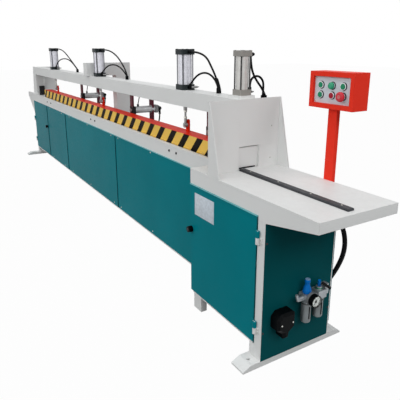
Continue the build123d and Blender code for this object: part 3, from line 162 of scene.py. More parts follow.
# %% [markdown]
# ## Finishes: sprayed paint
# Most of the press is sprayed sheet steel: white frame, teal panels, red beam. Up close
# such paint is never one tone. It has a fine orange-peel skin, broad soft clouds, a little
# dust on faces that look up, and edges rubbed through to the grey below. All paints share
# these, so they are built once as a node group with an amount for each.

# %% Group helpers
FLOAT, TINT, ARROW = "NodeSocketFloat", "NodeSocketColor", "NodeSocketVector"
SKIN = (("Colour", TINT), ("Roughness", FLOAT), ("Normal", ARROW))


def new_group(name, inputs):
    group = bpy.data.node_groups.new(name, "ShaderNodeTree")
    for title, kind, value in inputs:
        socket = group.interface.new_socket(title, in_out="INPUT", socket_type=kind)
        if value is not None:
            socket.default_value = value
    for title, kind in SKIN:
        group.interface.new_socket(title, in_out="OUTPUT", socket_type=kind)
    return group, group.nodes.new("NodeGroupInput").outputs


def hand_out(tree, *sockets):
    result = tree.nodes.new("NodeGroupOutput")
    for target, socket in zip(result.inputs, sockets):
        tree.links.new(socket, target)
    print(tree.name, len(tree.nodes), "nodes")


def object_place(tree):
    return add(tree, "ShaderNodeTexCoord").outputs["Object"]


def noise(tree, where, scale, detail, **more):
    values = {"Vector": where, "Scale": scale, "Detail": detail, **more}
    return add(tree, "ShaderNodeTexNoise", values).outputs[0]


def scaled(tree, colour, amount):
    return add(tree, "ShaderNodeVectorMath", {0: colour, 3: amount}, operation="SCALE").outputs[0]


def blend(tree, share, first, second):
    return add(tree, "ShaderNodeMix", {0: share, 6: first, 7: second}, data_type="RGBA").outputs[2]


def rounded(tree, radius):
    return add(tree, "ShaderNodeBevel", {"Radius": radius}, samples=4).outputs[0]


def bump(tree, strength, distance, height, normal):
    values = {"Strength": strength, "Distance": distance, "Height": height, "Normal": normal}
    return add(tree, "ShaderNodeBump", values).outputs[0]


# %% Paint group: clouds
paint_film, given = new_group("paint_film", (
    ("Colour", TINT, None), ("Gloss", FLOAT, 0.4), ("Clouds", FLOAT, 0.05),
    ("Dust", FLOAT, 0.1), ("Wear", FLOAT, 0.5), ("Wave", FLOAT, 0.2)))
tree = paint_film
co = object_place(tree)
clouds = noise(tree, co, 2.3, 3.0)
peel = noise(tree, co, 430.0, 2.0)
scuff = noise(tree, co, 36.0, 7.0, Roughness=0.66)
wave = noise(tree, co, 1.7, 1.0)
dark = calc(tree, "SUBTRACT", 1.0, given["Clouds"])
light = calc(tree, "ADD", 1.0, given["Clouds"])
toned = scaled(tree, given["Colour"], ranged(tree, clouds, 0.3, 0.7, dark, light))

# %% Paint group: dust on faces that look up
DUST_TINT = (0.36, 0.34, 0.31, 1.0)
facing = add(tree, "ShaderNodeNewGeometry").outputs
up = ranged(tree, axes(tree, facing["Normal"])["Z"], 0.5, 1.0)
patch = ranged(tree, scuff, 0.42, 0.72)
dusting = calc(tree, "MULTIPLY", calc(tree, "MULTIPLY", up, patch), given["Dust"])
dusty = blend(tree, dusting, toned, DUST_TINT)

# %% Paint group: rubbed edges, skin and gloss
BARE_TINT = (0.24, 0.235, 0.23, 1.0)
soft = rounded(tree, 0.0025)
bend = add(tree, "ShaderNodeVectorMath", {0: soft, 1: facing["True Normal"]}, operation="DOT_PRODUCT")
edge = ranged(tree, bend.outputs["Value"], 0.985, 0.86)
broken = ranged(tree, scuff, 0.5, 0.62)
worn = calc(tree, "MULTIPLY", calc(tree, "MULTIPLY", edge, broken), given["Wear"])
bare = blend(tree, worn, dusty, BARE_TINT)
rough = calc(tree, "ADD", given["Gloss"], ranged(tree, scuff, 0.3, 0.7, -0.07, 0.09), use_clamp=True)
sheet = bump(tree, given["Wave"], 0.02, wave, soft)
hand_out(tree, bare, rough, bump(tree, 0.09, 0.0006, peel, sheet))

# %% [markdown]
# ## Finishes: machined metal
# Cylinder tubes are brushed aluminium, rods are chromed, and fittings are turned or ground
# steel. Most show fine lines along the way the tool ran. A noise that a Mapping node
# squeezes along one axis gives such lines, and squeezed alike on every axis it gives the
# even grain of castings and screws. One group serves every metal with its own squeeze,
# tone and roughness.

# %% Metal group
tooled_metal, given = new_group("tooled_metal", (
    ("Lines", ARROW, None), ("Colour", TINT, None), ("Gloss", FLOAT, 0.3), ("Grain", FLOAT, 0.3)))
tree = tooled_metal
lines = noise(tree, given["Lines"], 1.0, 5.0)
stain = noise(tree, object_place(tree), 26.0, 5.0)
tone = ranged(tree, stain, 0.3, 0.72, 0.86, 1.05)
streak = ranged(tree, lines, 0.3, 0.7, 0.9, 1.06)
colour = scaled(tree, given["Colour"], calc(tree, "MULTIPLY", tone, streak))
rough = calc(tree, "ADD", given["Gloss"], ranged(tree, lines, 0.25, 0.75, -0.08, 0.1), use_clamp=True)
hand_out(tree, colour, rough, bump(tree, given["Grain"], 0.0003, lines, rounded(tree, 0.0012)))

# %% [markdown]
# ## Finishes: moulded plastic and rubber
# Knobs, buttons and the inlet box are moulded, and the hoses are extruded. Their skin has a
# very fine grain and slight tone changes, and handling polishes patches of it. A plain
# colour would look like wet paint, so one more group holds the grain and the polish, and
# each plastic gives it a colour.

# %% Plastic group
moulded_skin, given = new_group("moulded_skin", (
    ("Colour", TINT, None), ("Gloss", FLOAT, 0.4), ("Grain", FLOAT, 0.2), ("Size", FLOAT, 900.0)))
tree = moulded_skin
co = object_place(tree)
pits = noise(tree, co, given["Size"], 2.0)
patch = noise(tree, co, 60.0, 4.0)
colour = scaled(tree, given["Colour"], ranged(tree, patch, 0.3, 0.7, 0.88, 1.1))
rough = calc(tree, "ADD", given["Gloss"], ranged(tree, patch, 0.3, 0.7, 0.08, -0.08), use_clamp=True)
hand_out(tree, colour, rough, bump(tree, given["Grain"], 0.0003, pits, rounded(tree, 0.0012)))


# %% Materials from the groups
def tone_of(red, green, blue):
    def linear(v):
        v = v / 255.0
        return v / 12.92 if v <= 0.04045 else ((v + 0.055) / 1.055) ** 2.4
    return (linear(red), linear(green), linear(blue), 1.0)


def finish(name, group, values, **shader):
    material = bpy.data.materials.new(name)
    material.use_nodes = True
    tree = material.node_tree
    principled = tree.nodes["Principled BSDF"]
    skin = add(tree, "ShaderNodeGroup", values, node_tree=group)
    for title, target in (("Colour", "Base Color"), ("Roughness", "Roughness"), ("Normal", "Normal")):
        tree.links.new(skin.outputs[title], principled.inputs[target])
    for key, value in shader.items():
        principled.inputs[key.replace("_", " ")].default_value = value
    return material


def skin_of(material):
    return next(node for node in material.node_tree.nodes if node.type == "GROUP")


def paint(name, tone, gloss=0.42, clouds=0.04, dust=0.1, wear=0.5, wave=0.15, level=0.3):
    values = {"Colour": tone_of(*tone), "Gloss": gloss, "Clouds": clouds,
              "Dust": dust, "Wear": wear, "Wave": wave}
    return finish(name, paint_film, values, Specular_IOR_Level=level)


def metal(name, tone, gloss, squeeze, grain=0.3, metallic=1.0):
    values = {"Colour": tone_of(*tone), "Gloss": gloss, "Grain": grain}
    material = finish(name, tooled_metal, values, Metallic=metallic)
    tree = material.node_tree
    lines = add(tree, "ShaderNodeMapping", {"Vector": object_place(tree), "Scale": squeeze})
    tree.links.new(lines.outputs[0], skin_of(material).inputs["Lines"])
    return material


def plastic(name, tone, gloss, grain=0.2, size=900.0, level=0.3, **shader):
    values = {"Colour": tone_of(*tone), "Gloss": gloss, "Grain": grain, "Size": size}
    return finish(name, moulded_skin, values, Specular_IOR_Level=level, **shader)


# %% [markdown]
# ## The palette
# Each finish is named for what it covers. The teal sheets get a low specular level, since
# on the real press only the far, grazing end of the long front turns pale. White stays
# under 0.8, so that it doesn't clip where two softboxes meet.

# %% Painted finishes
TEAL_SHEET = {"gloss": 0.36, "dust": 0.05, "wave": 0.35, "level": 0.015}
BLACK_CAST = {"gloss": 0.42, "clouds": 0.12, "dust": 0.1, "wear": 0.5, "level": 0.1}
white_frame = paint("white_frame", (229, 230, 229), gloss=0.45, clouds=0.025, dust=0.07, wear=0.3)
teal_panel = paint("teal_panel", (4, 127, 138), clouds=0.06, wear=0.12, **TEAL_SHEET)
# A darker copy of the teal paint: painted shade for the end panel under the table's overhang and for the
# door's side fold.
shaded_end_teal = paint("shaded_end_teal", (5, 80, 85), clouds=0.1, wear=0.35, **TEAL_SHEET)
highlight_teal = paint("highlight_teal", (112, 190, 194), gloss=0.4, clouds=0.06, dust=0.05, wear=0.1, level=0.1)
red_box = paint("red_box", (240, 57, 40), gloss=0.4, dust=0.05, wear=0.3, level=0.05)
maroon_bracket = paint("maroon_bracket", (90, 26, 44), gloss=0.4, clouds=0.1, level=0.12)
black_coat = paint("black_coat", (38, 38, 40), clouds=0.12, dust=0.12, wear=0.6, level=0.1)
grey_plate = paint("grey_plate", (212, 217, 224), gloss=0.5, clouds=0.02, dust=0.02, wear=0.2, level=0.2)
tank_grey = paint("tank_grey", (120, 124, 126), gloss=0.5, clouds=0.08, dust=0.3)
gate_cast = paint("gate_cast", (153, 150, 145), gloss=0.45, clouds=0.05, dust=0.06, wear=0.3, level=0.2)
press_cast = paint("press_cast", (44, 50, 52), **BLACK_CAST)
lock_cast = paint("lock_cast", (34, 36, 38), **BLACK_CAST)
striped_beam = paint("striped_beam", (240, 50, 24), gloss=0.4, clouds=0.05, dust=0.02, wear=0.35, level=0.02)
print(len(bpy.data.materials), "materials with the floor")

# %% Metals, by the way their fine lines run
ROUND_UPRIGHT, ROUND_DEPTH, ROUND_ROD = (6.0, 6.0, 700.0), (6.0, 700.0, 6.0), (4.0, 4.0, 300.0)
press_tube = metal("press_tube", (222, 222, 230), 0.42, ROUND_UPRIGHT, metallic=0.5)
gate_tube = metal("gate_tube", (196, 195, 192), 0.4, ROUND_UPRIGHT, metallic=0.6)
cross_tube = metal("cross_tube", (168, 170, 172), 0.38, ROUND_DEPTH, metallic=0.7)
chromed_rod = metal("chromed_rod", (236, 238, 240), 0.16, ROUND_ROD, grain=0.05)
ground_steel = metal("ground_steel", (154, 154, 154), 0.36, (500.0, 8.0, 8.0))
bowl_guard = metal("bowl_guard", (120, 126, 128), 0.48, (160.0, 160.0, 22.0), grain=0.5, metallic=0.6)
rod_steel = metal("rod_steel", (146, 146, 146), 0.3, ROUND_ROD, grain=0.1)
cast_alloy = metal("cast_alloy", (168, 173, 177), 0.46, (120.0, 120.0, 120.0), grain=0.5, metallic=0.7)
zinc_screw = metal("zinc_screw", (196, 196, 190), 0.34, (260.0, 260.0, 260.0))
dark_screw = metal("dark_screw", (46, 46, 48), 0.42, (260.0, 260.0, 260.0), metallic=0.6)
print(len(bpy.data.materials), "materials with the metals")

# %% Plastics, rubber and glass
black_moulding = plastic("black_moulding", (5, 7, 9), 0.45, grain=0.3, level=0.05)
gauge_black = plastic("gauge_black", (6, 7, 9), 0.4, level=0.06)
black_strip = plastic("black_strip", (52, 54, 58), 0.55, grain=0.35)
green_button = plastic("green_button", (16, 138, 96), 0.28, grain=0.05)
dark_red_button = plastic("dark_red_button", (166, 18, 44), 0.3, grain=0.05)
stop_red = plastic("stop_red", (208, 42, 58), 0.3, grain=0.05)
stop_pale = plastic("stop_pale", (206, 112, 112), 0.35, grain=0.05)
knob_blue = plastic("knob_blue", (3, 108, 192), 0.4, grain=0.1, level=0.12)
grey_cap = plastic("grey_cap", (120, 150, 180), 0.4)
dial_white = plastic("dial_white", (236, 236, 232), 0.5, grain=0.05)
pale_card = plastic("card_print", (208, 217, 226), 0.4, grain=0.1, size=300.0)
hose_rubber = plastic("hose_rubber", (11, 11, 13), 0.45, grain=0.25, size=1500.0, level=0.06)
clear_glass = plastic("clear_glass", (238, 242, 242), 0.06, grain=0.01, Transmission_Weight=1.0, IOR=1.45)
lamp_green = plastic("lamp_green", (10, 158, 114), 0.2, grain=0.03, Coat_Weight=0.4)
print(len(bpy.data.materials), "materials in all")

# %% [markdown]
# ## Hazard stripes on the press beam
# The beam's front carries yellow and black tape at a lean, while its top and back are
# red. Tape could be a thin sheet of its own, but a mask on Object coordinates keeps the
# solid as it is: one measure leans with the height, and a sawtooth of it makes the bars.

# %% Striped beam
STRIPE_PITCH = 0.168
STRIPE_LEAN = 0.9
STRIPE_START = 0.02
YELLOW_SHARE = 0.57
BEAM_FRONT_Y = -0.0449


def recolour(material, mask, other):
    tree = material.node_tree
    target = skin_of(material).inputs["Colour"]
    own = tuple(target.default_value)
    tree.links.new(blend(tree, mask, own, other), target)


tree = striped_beam.node_tree
place = axes(tree, object_place(tree))
along = calc(tree, "SUBTRACT", place["X"], calc(tree, "MULTIPLY", place["Z"], STRIPE_LEAN))
count = calc(tree, "DIVIDE", calc(tree, "ADD", along, STRIPE_START), STRIPE_PITCH)
bar = calc(tree, "GREATER_THAN", calc(tree, "FRACT", count), YELLOW_SHARE)
tape = blend(tree, bar, tone_of(248, 204, 98), tone_of(24, 20, 18))
recolour(striped_beam, calc(tree, "LESS_THAN", place["Y"], BEAM_FRONT_Y), tape)
print("stripes every", STRIPE_PITCH, "m")

# %% [markdown]
# ## Two tones in one object
# The caps of the upright cylinders and the rods between them share one object, yet the
# caps are painted and the rods are steel. They could be cut apart, but between the caps
# there is nothing else, so a mask on the height tells the two apart. A second mask by place
# paints the rod toward the front and the near end dark as shade, and the rods toward the rear
# and the far end paler as light. The lock cylinders' rear caps and the gauge's stem are told apart by one
# limit each.

# %% Tie rods, rear caps and gauge stem
PRESS_AT = (-1.730, -0.095, 1.540)
CYLINDER_PITCH = PRESS_AT[1] - PRESS_AT[0]
GATE_X = 2.158
PRESS_RODS_Z = (1.2621, 1.4479)
GATE_RODS_Z = (1.2751, 1.4469)
LOCK_REAR_Y = 0.2
GAUGE_STEM_X = 2.787


def beyond(material, axis, test, limit):
    tree = material.node_tree
    return calc(tree, test, axes(tree, object_place(tree))[axis], limit)


def tie_rods_painted_shade(material, dark, pale, heights, middle):
    tree = material.node_tree
    spot = axes(tree, object_place(tree))
    rear = ranged(tree, spot["Y"], -0.02, 0.02)
    local = calc(tree, "SUBTRACT", spot["X"], middle)
    wrapped = calc(tree, "WRAP", local, CYLINDER_PITCH / 2, -CYLINDER_PITCH / 2)
    away = calc(tree, "LESS_THAN", wrapped, 0.0)
    rods = blend(tree, calc(tree, "MAXIMUM", rear, away), tone_of(*dark), tone_of(*pale))
    above = calc(tree, "GREATER_THAN", spot["Z"], heights[0])
    below = calc(tree, "LESS_THAN", spot["Z"], heights[1])
    recolour(material, calc(tree, "MULTIPLY", above, below), rods)


# The rod toward the front and the near end is painted dark as shade, the others paler as light.
tie_rods_painted_shade(press_cast, (84, 85, 90), (150, 150, 156), PRESS_RODS_Z, PRESS_AT[1])
tie_rods_painted_shade(gate_cast, (62, 62, 62), (70, 70, 70), GATE_RODS_Z, GATE_X)
recolour(lock_cast, beyond(lock_cast, "Y", "GREATER_THAN", LOCK_REAR_Y), tone_of(150, 151, 152))
recolour(gauge_black, beyond(gauge_black, "X", "LESS_THAN", GAUGE_STEM_X), tone_of(120, 122, 124))
print("second tones on press_cast, gate_cast, lock_cast and gauge_black")

# %% [markdown]
# ## Dressing the solids
# A solid whose shape is right stays and takes a finish in its own material slots. The
# finishes could be given solid by solid, but a table that lists the solids of each finish
# is quicker to read and to change.

# %% Dress the solids
DRESS = {
    white_frame: "bed bed_stand far_foot near_foot cabinet_frame infeed_table near_tower far_tower "
                 "top_beam rear_column gate hinge_pins",
    teal_panel: "front_panels rear_panels cabinet_panels near_door far_door",
    shaded_end_teal: "end_panel",
    red_box: "control_post control_box",
    striped_beam: "press_beam",
    maroon_bracket: "lock_supports",
    press_cast: "press_caps",
    lock_cast: "lock_caps",
    black_coat: "ram_head ram_cylinder",
    gate_cast: "gate_caps",
    cast_alloy: "air_body",
    bowl_guard: "air_bowls",
    grey_plate: "control_plate",
    tank_grey: "oil_unit",
    press_tube: "press_barrels",
    gate_tube: "gate_barrel",
    cross_tube: "lock_barrels",
    chromed_rod: "gate_rod ram_rod bezels",
    rod_steel: "press_rods",
    ground_steel: "rod_eyes eye_pins lock_bolts",
    black_moulding: "near_knob far_knob power_inlet gauge_pointer shutoff_lever hose_fittings stop_plunger",
    gauge_black: "gauge_case",
    black_strip: "guide_strip",
    green_button: "button_1 button_2 button_3",
    dark_red_button: "button_4",
    stop_red: "stop_head",
    knob_blue: "regulator_knob drip_knob",
    clear_glass: "gauge_glass",
    lamp_green: "lamp",
    hose_rubber: "hoses",
}
for material, names in DRESS.items():
    for name in names.split():
        for slot in nodes[name].material_slots:
            slot.material = material
print(sum(len(names.split()) for names in DRESS.values()), "nodes dressed")

# %% [markdown]
# ## Air hoses and the control conduit
# Two black hoses arc from each upright cylinder down to the frame, the lock cylinders have
# one in front and one behind, and a thicker conduit drops from the control post. A mesh
# tube could follow the same route, but a hose is one smooth line with a round section, so
# each is a NURBS curve with its solid's control points and a bevel of half its diameter.

# %% Hose routes in metres
HOSE_WIDE, THIN_HOSE_WIDE, CONDUIT_WIDE = 0.012, 0.008, 0.024
UPRIGHT_HOSES = (
    ("press_hose_far_upper", 0.7689, "medium", (
        (-1.663, .004, 1.465), (-1.57, .010, 1.476), (-1.44, .018, 1.467), (-1.33, .025, 1.443),
        (-1.21, .033, 1.390), (-1.06, .041, 1.320), (-.940, .049, 1.258))),
    ("press_hose_far_lower", 0.7555, "medium", (
        (-1.663, .004, 1.2645), (-1.61, .009, 1.312), (-1.5, .015, 1.350), (-1.37, .023, 1.366),
        (-1.23, .031, 1.362), (-1.13, .037, 1.339), (-1.035, .043, 1.302), (-.953, .049, 1.258))),
    ("press_hose_mid_upper", 0.5640, "medium", (
        (-.028, .004, 1.465), (.05, .012, 1.474), (.19, .026, 1.456), (.3, .037, 1.411),
        (.38, .044, 1.352), (.435, .049, 1.301), (.462, .050, 1.258))),
    ("press_hose_mid_lower", 0.5174, "medium", (
        (-.028, .004, 1.2645), (.02, .010, 1.298), (.11, .019, 1.335), (.225, .030, 1.347),
        (.33, .039, 1.329), (.405, .046, 1.293), (.449, .050, 1.258))),
    ("press_hose_near_upper", 0.3640, "medium", (
        (1.607, .004, 1.465), (1.672, .012, 1.466), (1.757, .029, 1.440), (1.804, .037, 1.378),
        (1.846, .044, 1.317), (1.8725, .048, 1.258))),
    ("press_hose_near_lower", 0.3173, "medium", (
        (1.607, .004, 1.2645), (1.637, .016, 1.306), (1.692, .026, 1.337), (1.755, .033, 1.344),
        (1.808, .040, 1.326), (1.843, .046, 1.294), (1.8625, .048, 1.258))),
    ("gate_hose_upper", 0.2334, "medium", (
        (2.165, .052, 1.444), (2.166, .055, 1.402), (2.168, .068, 1.355), (2.171, .098, 1.310),
        (2.174, .130, 1.275), (2.176, .149, 1.238))),
    ("gate_hose_lower", 0.2102, "limp", (
        (2.165, .052, 1.2845), (2.165, .052, 1.318), (2.167, .076, 1.342), (2.170, .110, 1.342),
        (2.173, .134, 1.318), (2.175, .137, 1.288), (2.176, .135, 1.260), (2.176, .134, 1.238))),
)
LOCK_AT = (-0.920, 0.481, 1.728)
LOCK_REAR = ((0, .338, .926), (0, .336, .870), (0, .312, .821), (0, .268, .801), (0, .225, .800))
LOCK_FRONT = ((.059, .084, 1.165), (.055, .114, 1.160), (.039, .132, 1.120), (.019, .134, 1.062),
              (0, .130, 1.018))
CONDUIT = ((2.615, .226, .762), (2.666, .226, .700), (2.726, .226, .632), (2.748, .226, .565),
           (2.744, .226, .495), (2.718, .226, .420), (2.681, .226, .345), (2.640, .226, .280),
           (2.615, .226, .230))
print(len(UPRIGHT_HOSES), "upright routes and", 2 * len(LOCK_AT), "at the locks")


# %% Hoses
def hose(name, points, diameter):
    curve = bpy.data.curves.new(name, "CURVE")
    curve.dimensions = "3D"
    line = curve.splines.new("NURBS")
    line.points.add(len(points) - 1)
    for spot, point in zip(line.points, points):
        spot.co = (*point, 1.0)
    line.order_u = 3
    line.use_endpoint_u = True
    line.resolution_u = 10
    curve.bevel_depth = diameter / 2
    curve.bevel_resolution = 5
    curve.use_fill_caps = True
    piece = bpy.data.objects.new(name, curve)
    bpy.context.scene.collection.objects.link(piece)
    curve.materials.append(hose_rubber)
    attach(piece, "frame")
    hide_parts("hoses")
    return piece


def moved(points, x):
    return [(x + dx, y, z) for dx, y, z in points]


cords = [hose(name, points, HOSE_WIDE) for name, length, bend, points in UPRIGHT_HOSES]
for name, x in zip(("far", "mid", "near"), LOCK_AT):
    rear, front = moved(LOCK_REAR, x), moved(LOCK_FRONT, x)
    cords.append(hose(f"lock_hose_{name}_rear", rear, HOSE_WIDE))
    cords.append(hose(f"lock_hose_{name}_front", front, THIN_HOSE_WIDE))
cords.append(hose("control_conduit", CONDUIT, CONDUIT_WIDE))
print(len(cords), "cords")

# %% [markdown]
# ## Helpers for small pieces
# Screws, nuts, rings and caps are turned parts. By hand one starts from a circle, extrudes
# it ring by ring and scales every ring, which is what `turned` repeats. Where a part is
# used many times, one model is made and copied to each place, so that all look alike.

# %% Modelling helpers
UP, NEAR = (0.0, 0.0, 0.0), (0.0, math.pi / 2, 0.0)
FRONT, BACK = (math.pi / 2, 0.0, 0.0), (-math.pi / 2, 0.0, 0.0)
MERGE_UNDER, SMOOTH_UNDER = 0.000002, math.radians(35.0)


def clear_selection():
    if bpy.context.object and bpy.context.object.mode != "OBJECT":
        bpy.ops.object.mode_set(mode="OBJECT")
    bpy.ops.object.select_all(action="DESELECT")


def choose(piece):
    clear_selection()
    piece.select_set(True)
    bpy.context.view_layer.objects.active = piece


def turned(sides, profile, closed=False):
    clear_selection()
    radius, level = profile[0]
    fill = "NOTHING" if closed else "NGON"
    bpy.ops.mesh.primitive_circle_add(vertices=sides, radius=radius, fill_type=fill)
    bpy.ops.object.mode_set(mode="EDIT")
    bpy.ops.mesh.select_all(action="SELECT")
    bpy.ops.transform.translate(value=(0.0, 0.0, level))
    rings = profile[1:] + profile[:1] if closed else profile[1:]
    for wide, high in rings:
        bpy.ops.mesh.extrude_region_move(TRANSFORM_OT_translate={"value": (0.0, 0.0, high - level)})
        bpy.ops.transform.resize(value=(wide / radius, wide / radius, 1.0), center_override=(0.0, 0.0, high))
        radius, level = wide, high
    bpy.ops.mesh.select_all(action="SELECT")
    bpy.ops.mesh.remove_doubles(threshold=MERGE_UNDER)
    bpy.ops.mesh.normals_make_consistent(inside=False)
    bpy.ops.object.mode_set(mode="OBJECT")
    return bpy.context.object


def bevelled_block(size, edge):
    clear_selection()
    bpy.ops.mesh.primitive_cube_add(size=1.0)
    bpy.ops.object.mode_set(mode="EDIT")
    bpy.ops.mesh.select_all(action="SELECT")
    bpy.ops.transform.resize(value=size, center_override=(0.0, 0.0, 0.0))
    bpy.ops.mesh.bevel(offset=edge, segments=2, affect="EDGES")
    bpy.ops.object.mode_set(mode="OBJECT")
    return bpy.context.object


# %% Copying, joining and fitting
def spread(model, spots):
    copies = []
    for place, turn in spots:
        choose(model)
        bpy.ops.object.duplicate(linked=False)
        copy = bpy.context.object
        copy.location, copy.rotation_euler = place, turn
        copies.append(copy)
    choose(model)
    bpy.ops.object.delete()
    return weld_together(copies)


def weld_together(pieces):
    choose(pieces[0])
    for piece in pieces:
        piece.select_set(True)
    bpy.ops.object.transform_apply(location=True, rotation=True, scale=True)
    if len(pieces) > 1:
        bpy.ops.object.join()
    return bpy.context.object


def settle(piece, name, body, slot, material):
    choose(piece)
    bpy.ops.object.shade_smooth_by_angle(angle=SMOOTH_UNDER)
    piece.name = piece.data.name = name
    piece.data.materials.clear()
    piece.data.materials.append(material)
    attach(piece, body)
    print(name, len(piece.data.polygons), "faces on", body)
    return piece


def fit(model, spots, *labels):
    return settle(spread(model, spots), *labels)


def block_at(place, size, edge):
    return spread(bevelled_block(size, edge), [(place, UP)])


def full_circle(count):
    return [k * math.tau / count for k in range(count)]


def upright_ring(x, y, z, radius, count):
    spots = []
    for a in full_circle(count):
        spots.append(((x + radius * math.cos(a), y + radius * math.sin(a), z), (0.0, 0.0, a)))
    return spots


# %% Screws and nuts, turned with their recess
def socket_screw(r, h):
    return turned(16, [(r, 0.0), (r, 0.8 * h), (0.88 * r, h), (0.55 * r, h), (0.5 * r, 0.35 * h)])


def pan_screw(r):
    return turned(14, [(r, 0.0), (r, 0.2 * r), (0.8 * r, 0.45 * r), (0.36 * r, 0.5 * r), (0.3 * r, 0.25 * r)])


def hex_nut(r, h):
    return turned(6, [(0.93 * r, 0.0), (r, 0.12 * h), (r, 0.88 * h), (0.93 * r, h), (0.62 * r, h)])


# %% [markdown]
# ## Screws
# Socket screws clamp the cylinder caps and the bed wall, and small pan heads hold the
# sheets. Each kind is turned once with its recess and then copied to its places. They
# could be bumps in a material, but real heads catch light and give the right outline.

# %% Socket screws on caps, bed wall and brackets
CYLINDER_Y = 0.004
PRESS_CAP_TOP, PRESS_ROD_OUT = 1.482, 0.036
GATE_CAP_TOP, GATE_ROD_OUT = 1.477, 0.0283
SHEET_FRONT, SHEET_REAR = -0.085, 0.205
WALL_SCREW_X = (-1.895, -1.715, -0.170, -0.051, 1.471, 1.571)
WALL_SCREW_Z = 0.82
HANGER_BACK, HANGER_SCREW_Z, HANGER_SCREW_DX = 0.083, 1.172, (-0.014, 0.014)
PLATE_FOOT_Y, PLATE_FOOT_TOP, PLATE_SCREW_DX = 0.232, 0.850, (-0.022, 0.022)


def cap_corners(x, out, top):
    return [((x + out * sx, CYLINDER_Y + out * sy, top), UP) for sx in (-1, 1) for sy in (-1, 1)]


tops = [spot for x in PRESS_AT for spot in cap_corners(x, PRESS_ROD_OUT, PRESS_CAP_TOP)]
fit(socket_screw(0.0075, 0.0012), tops, "press_cap_screws", "frame", "steel", dark_screw)
tops = cap_corners(GATE_X, GATE_ROD_OUT, GATE_CAP_TOP)
fit(socket_screw(0.0062, 0.0012), tops, "gate_cap_screws", "frame", "steel", dark_screw)
wall = [((x, SHEET_FRONT, WALL_SCREW_Z), FRONT) for x in WALL_SCREW_X]
fit(socket_screw(0.008, 0.005), wall, "wall_screws", "frame", "steel", dark_screw)
holds = [((x + dx, HANGER_BACK, HANGER_SCREW_Z), BACK) for x in LOCK_AT for dx in HANGER_SCREW_DX]
holds += [((x + dx, PLATE_FOOT_Y, PLATE_FOOT_TOP), UP) for x in LOCK_AT for dx in PLATE_SCREW_DX]
fit(socket_screw(0.0065, 0.006), holds, "bracket_screws", "frame", "steel", zinc_screw)

# %% Pan-head screws on the sheets
SHEET_SCREW_R = 0.0055
SHEET_SCREW_Z = (0.748, 0.126)
FRONT_SCREW_X = (-1.79, -1.25, -0.93, -0.30, 0.362, 0.528, 1.170, 1.86)
REAR_SCREW_X = (-2.55, -1.79, -1.03, -0.27, 0.49, 1.25, 1.95)
END_FACE_X = 2.709
END_SCREWS_YZ = ((-0.243, 0.6445), (-0.246, 0.184), (0.181, 0.191), (0.181, 0.6445))
sheets = [((x, SHEET_FRONT, z), FRONT) for x in FRONT_SCREW_X for z in SHEET_SCREW_Z]
sheets += [((x, SHEET_REAR, z), BACK) for x in REAR_SCREW_X for z in SHEET_SCREW_Z]
end = [((END_FACE_X, y, z), NEAR) for y, z in END_SCREWS_YZ]
fit(pan_screw(SHEET_SCREW_R), sheets, "sheet_screws", "frame", "steel", zinc_screw)
fit(pan_screw(SHEET_SCREW_R), end, "end_panel_screws", "frame", "steel", dark_screw)

# %% Small screws on strip, plate, hinges, inlet box and tower
SMALL_SCREW_R = 0.0042
STRIP_SCREW_X, STRIP_Y, STRIP_TOP = (2.32, 2.54, 2.76, 2.94), -0.0455, 0.861
CONTROL_FACE_Y = 0.191
CONTROL_SCREW_X, CONTROL_SCREW_Z = (2.5165, 2.7305), (1.2395, 1.3515)
HINGE_FACE_Y = -0.257
FRAME_LEAF_X, FRAME_LEAF_Z = 2.6815, (0.176, 0.192, 0.639, 0.655)
DOOR_LEAF_X, DOOR_LEAF_Z = 2.6495, (0.208, 0.224, 0.671, 0.687)
INLET_FACE_X, INLET_SCREW_Y, INLET_SCREW_Z = 2.769, (-0.181, -0.113), 0.236
TOWER_FACE_X, TOWER_SCREWS_YZ = 2.238, ((0.153, 1.078), (0.150, 0.899))
small = [((x, STRIP_Y, STRIP_TOP), UP) for x in STRIP_SCREW_X]
small += [((x, CONTROL_FACE_Y, z), FRONT) for x in CONTROL_SCREW_X for z in CONTROL_SCREW_Z]
small += [((FRAME_LEAF_X, HINGE_FACE_Y, z), FRONT) for z in FRAME_LEAF_Z]
small += [((INLET_FACE_X, y, INLET_SCREW_Z), NEAR) for y in INLET_SCREW_Y]
small += [((TOWER_FACE_X, y, z), NEAR) for y, z in TOWER_SCREWS_YZ]
fit(pan_screw(SMALL_SCREW_R), small, "small_screws", "frame", "steel", zinc_screw)
leaf = [((DOOR_LEAF_X, HINGE_FACE_Y, z), FRONT) for z in DOOR_LEAF_Z]
fit(pan_screw(SMALL_SCREW_R), leaf, "door_hinge_screws", "near_door", "steel", zinc_screw)

# %% [markdown]
# ## Nuts on the rods
# Below each piston rod a lock nut tightens on its stud, a second one sits on the rod eye,
# and the gate hangs from a nut on its rod. A plain six-sided cylinder would have hard edges,
# so a six-sided circle is extruded with a small chamfer at both ends. The nuts ride with
# the beam and the gate.

# %% Rod nuts
ROD_NUT_Z = (1.0405, 1.081)
GATE_NUT_Z = 0.9742
studs = [((x, CYLINDER_Y, z), UP) for x in PRESS_AT for z in ROD_NUT_Z]
fit(hex_nut(0.0125, 0.0115), studs, "rod_nuts", "press", "steel", zinc_screw)
gate_stud = [((GATE_X, CYLINDER_Y, GATE_NUT_Z), UP)]
fit(hex_nut(0.0155, 0.010), gate_stud, "gate_nut", "gate", "steel", zinc_screw)

# %% [markdown]
# ## Hose collars, throttles and the near wrap
# The press hoses, and the lock hoses at the rear, are pushed into turned collars, and each
# lower port has a slim throttle screw beside it. Where the nearest press cylinder's hoses
# meet the beam they run together in a leaning wrap. A curve with a bevel could make that,
# but it narrows as it rises, so a ring is extruded, moved and scaled step by step.

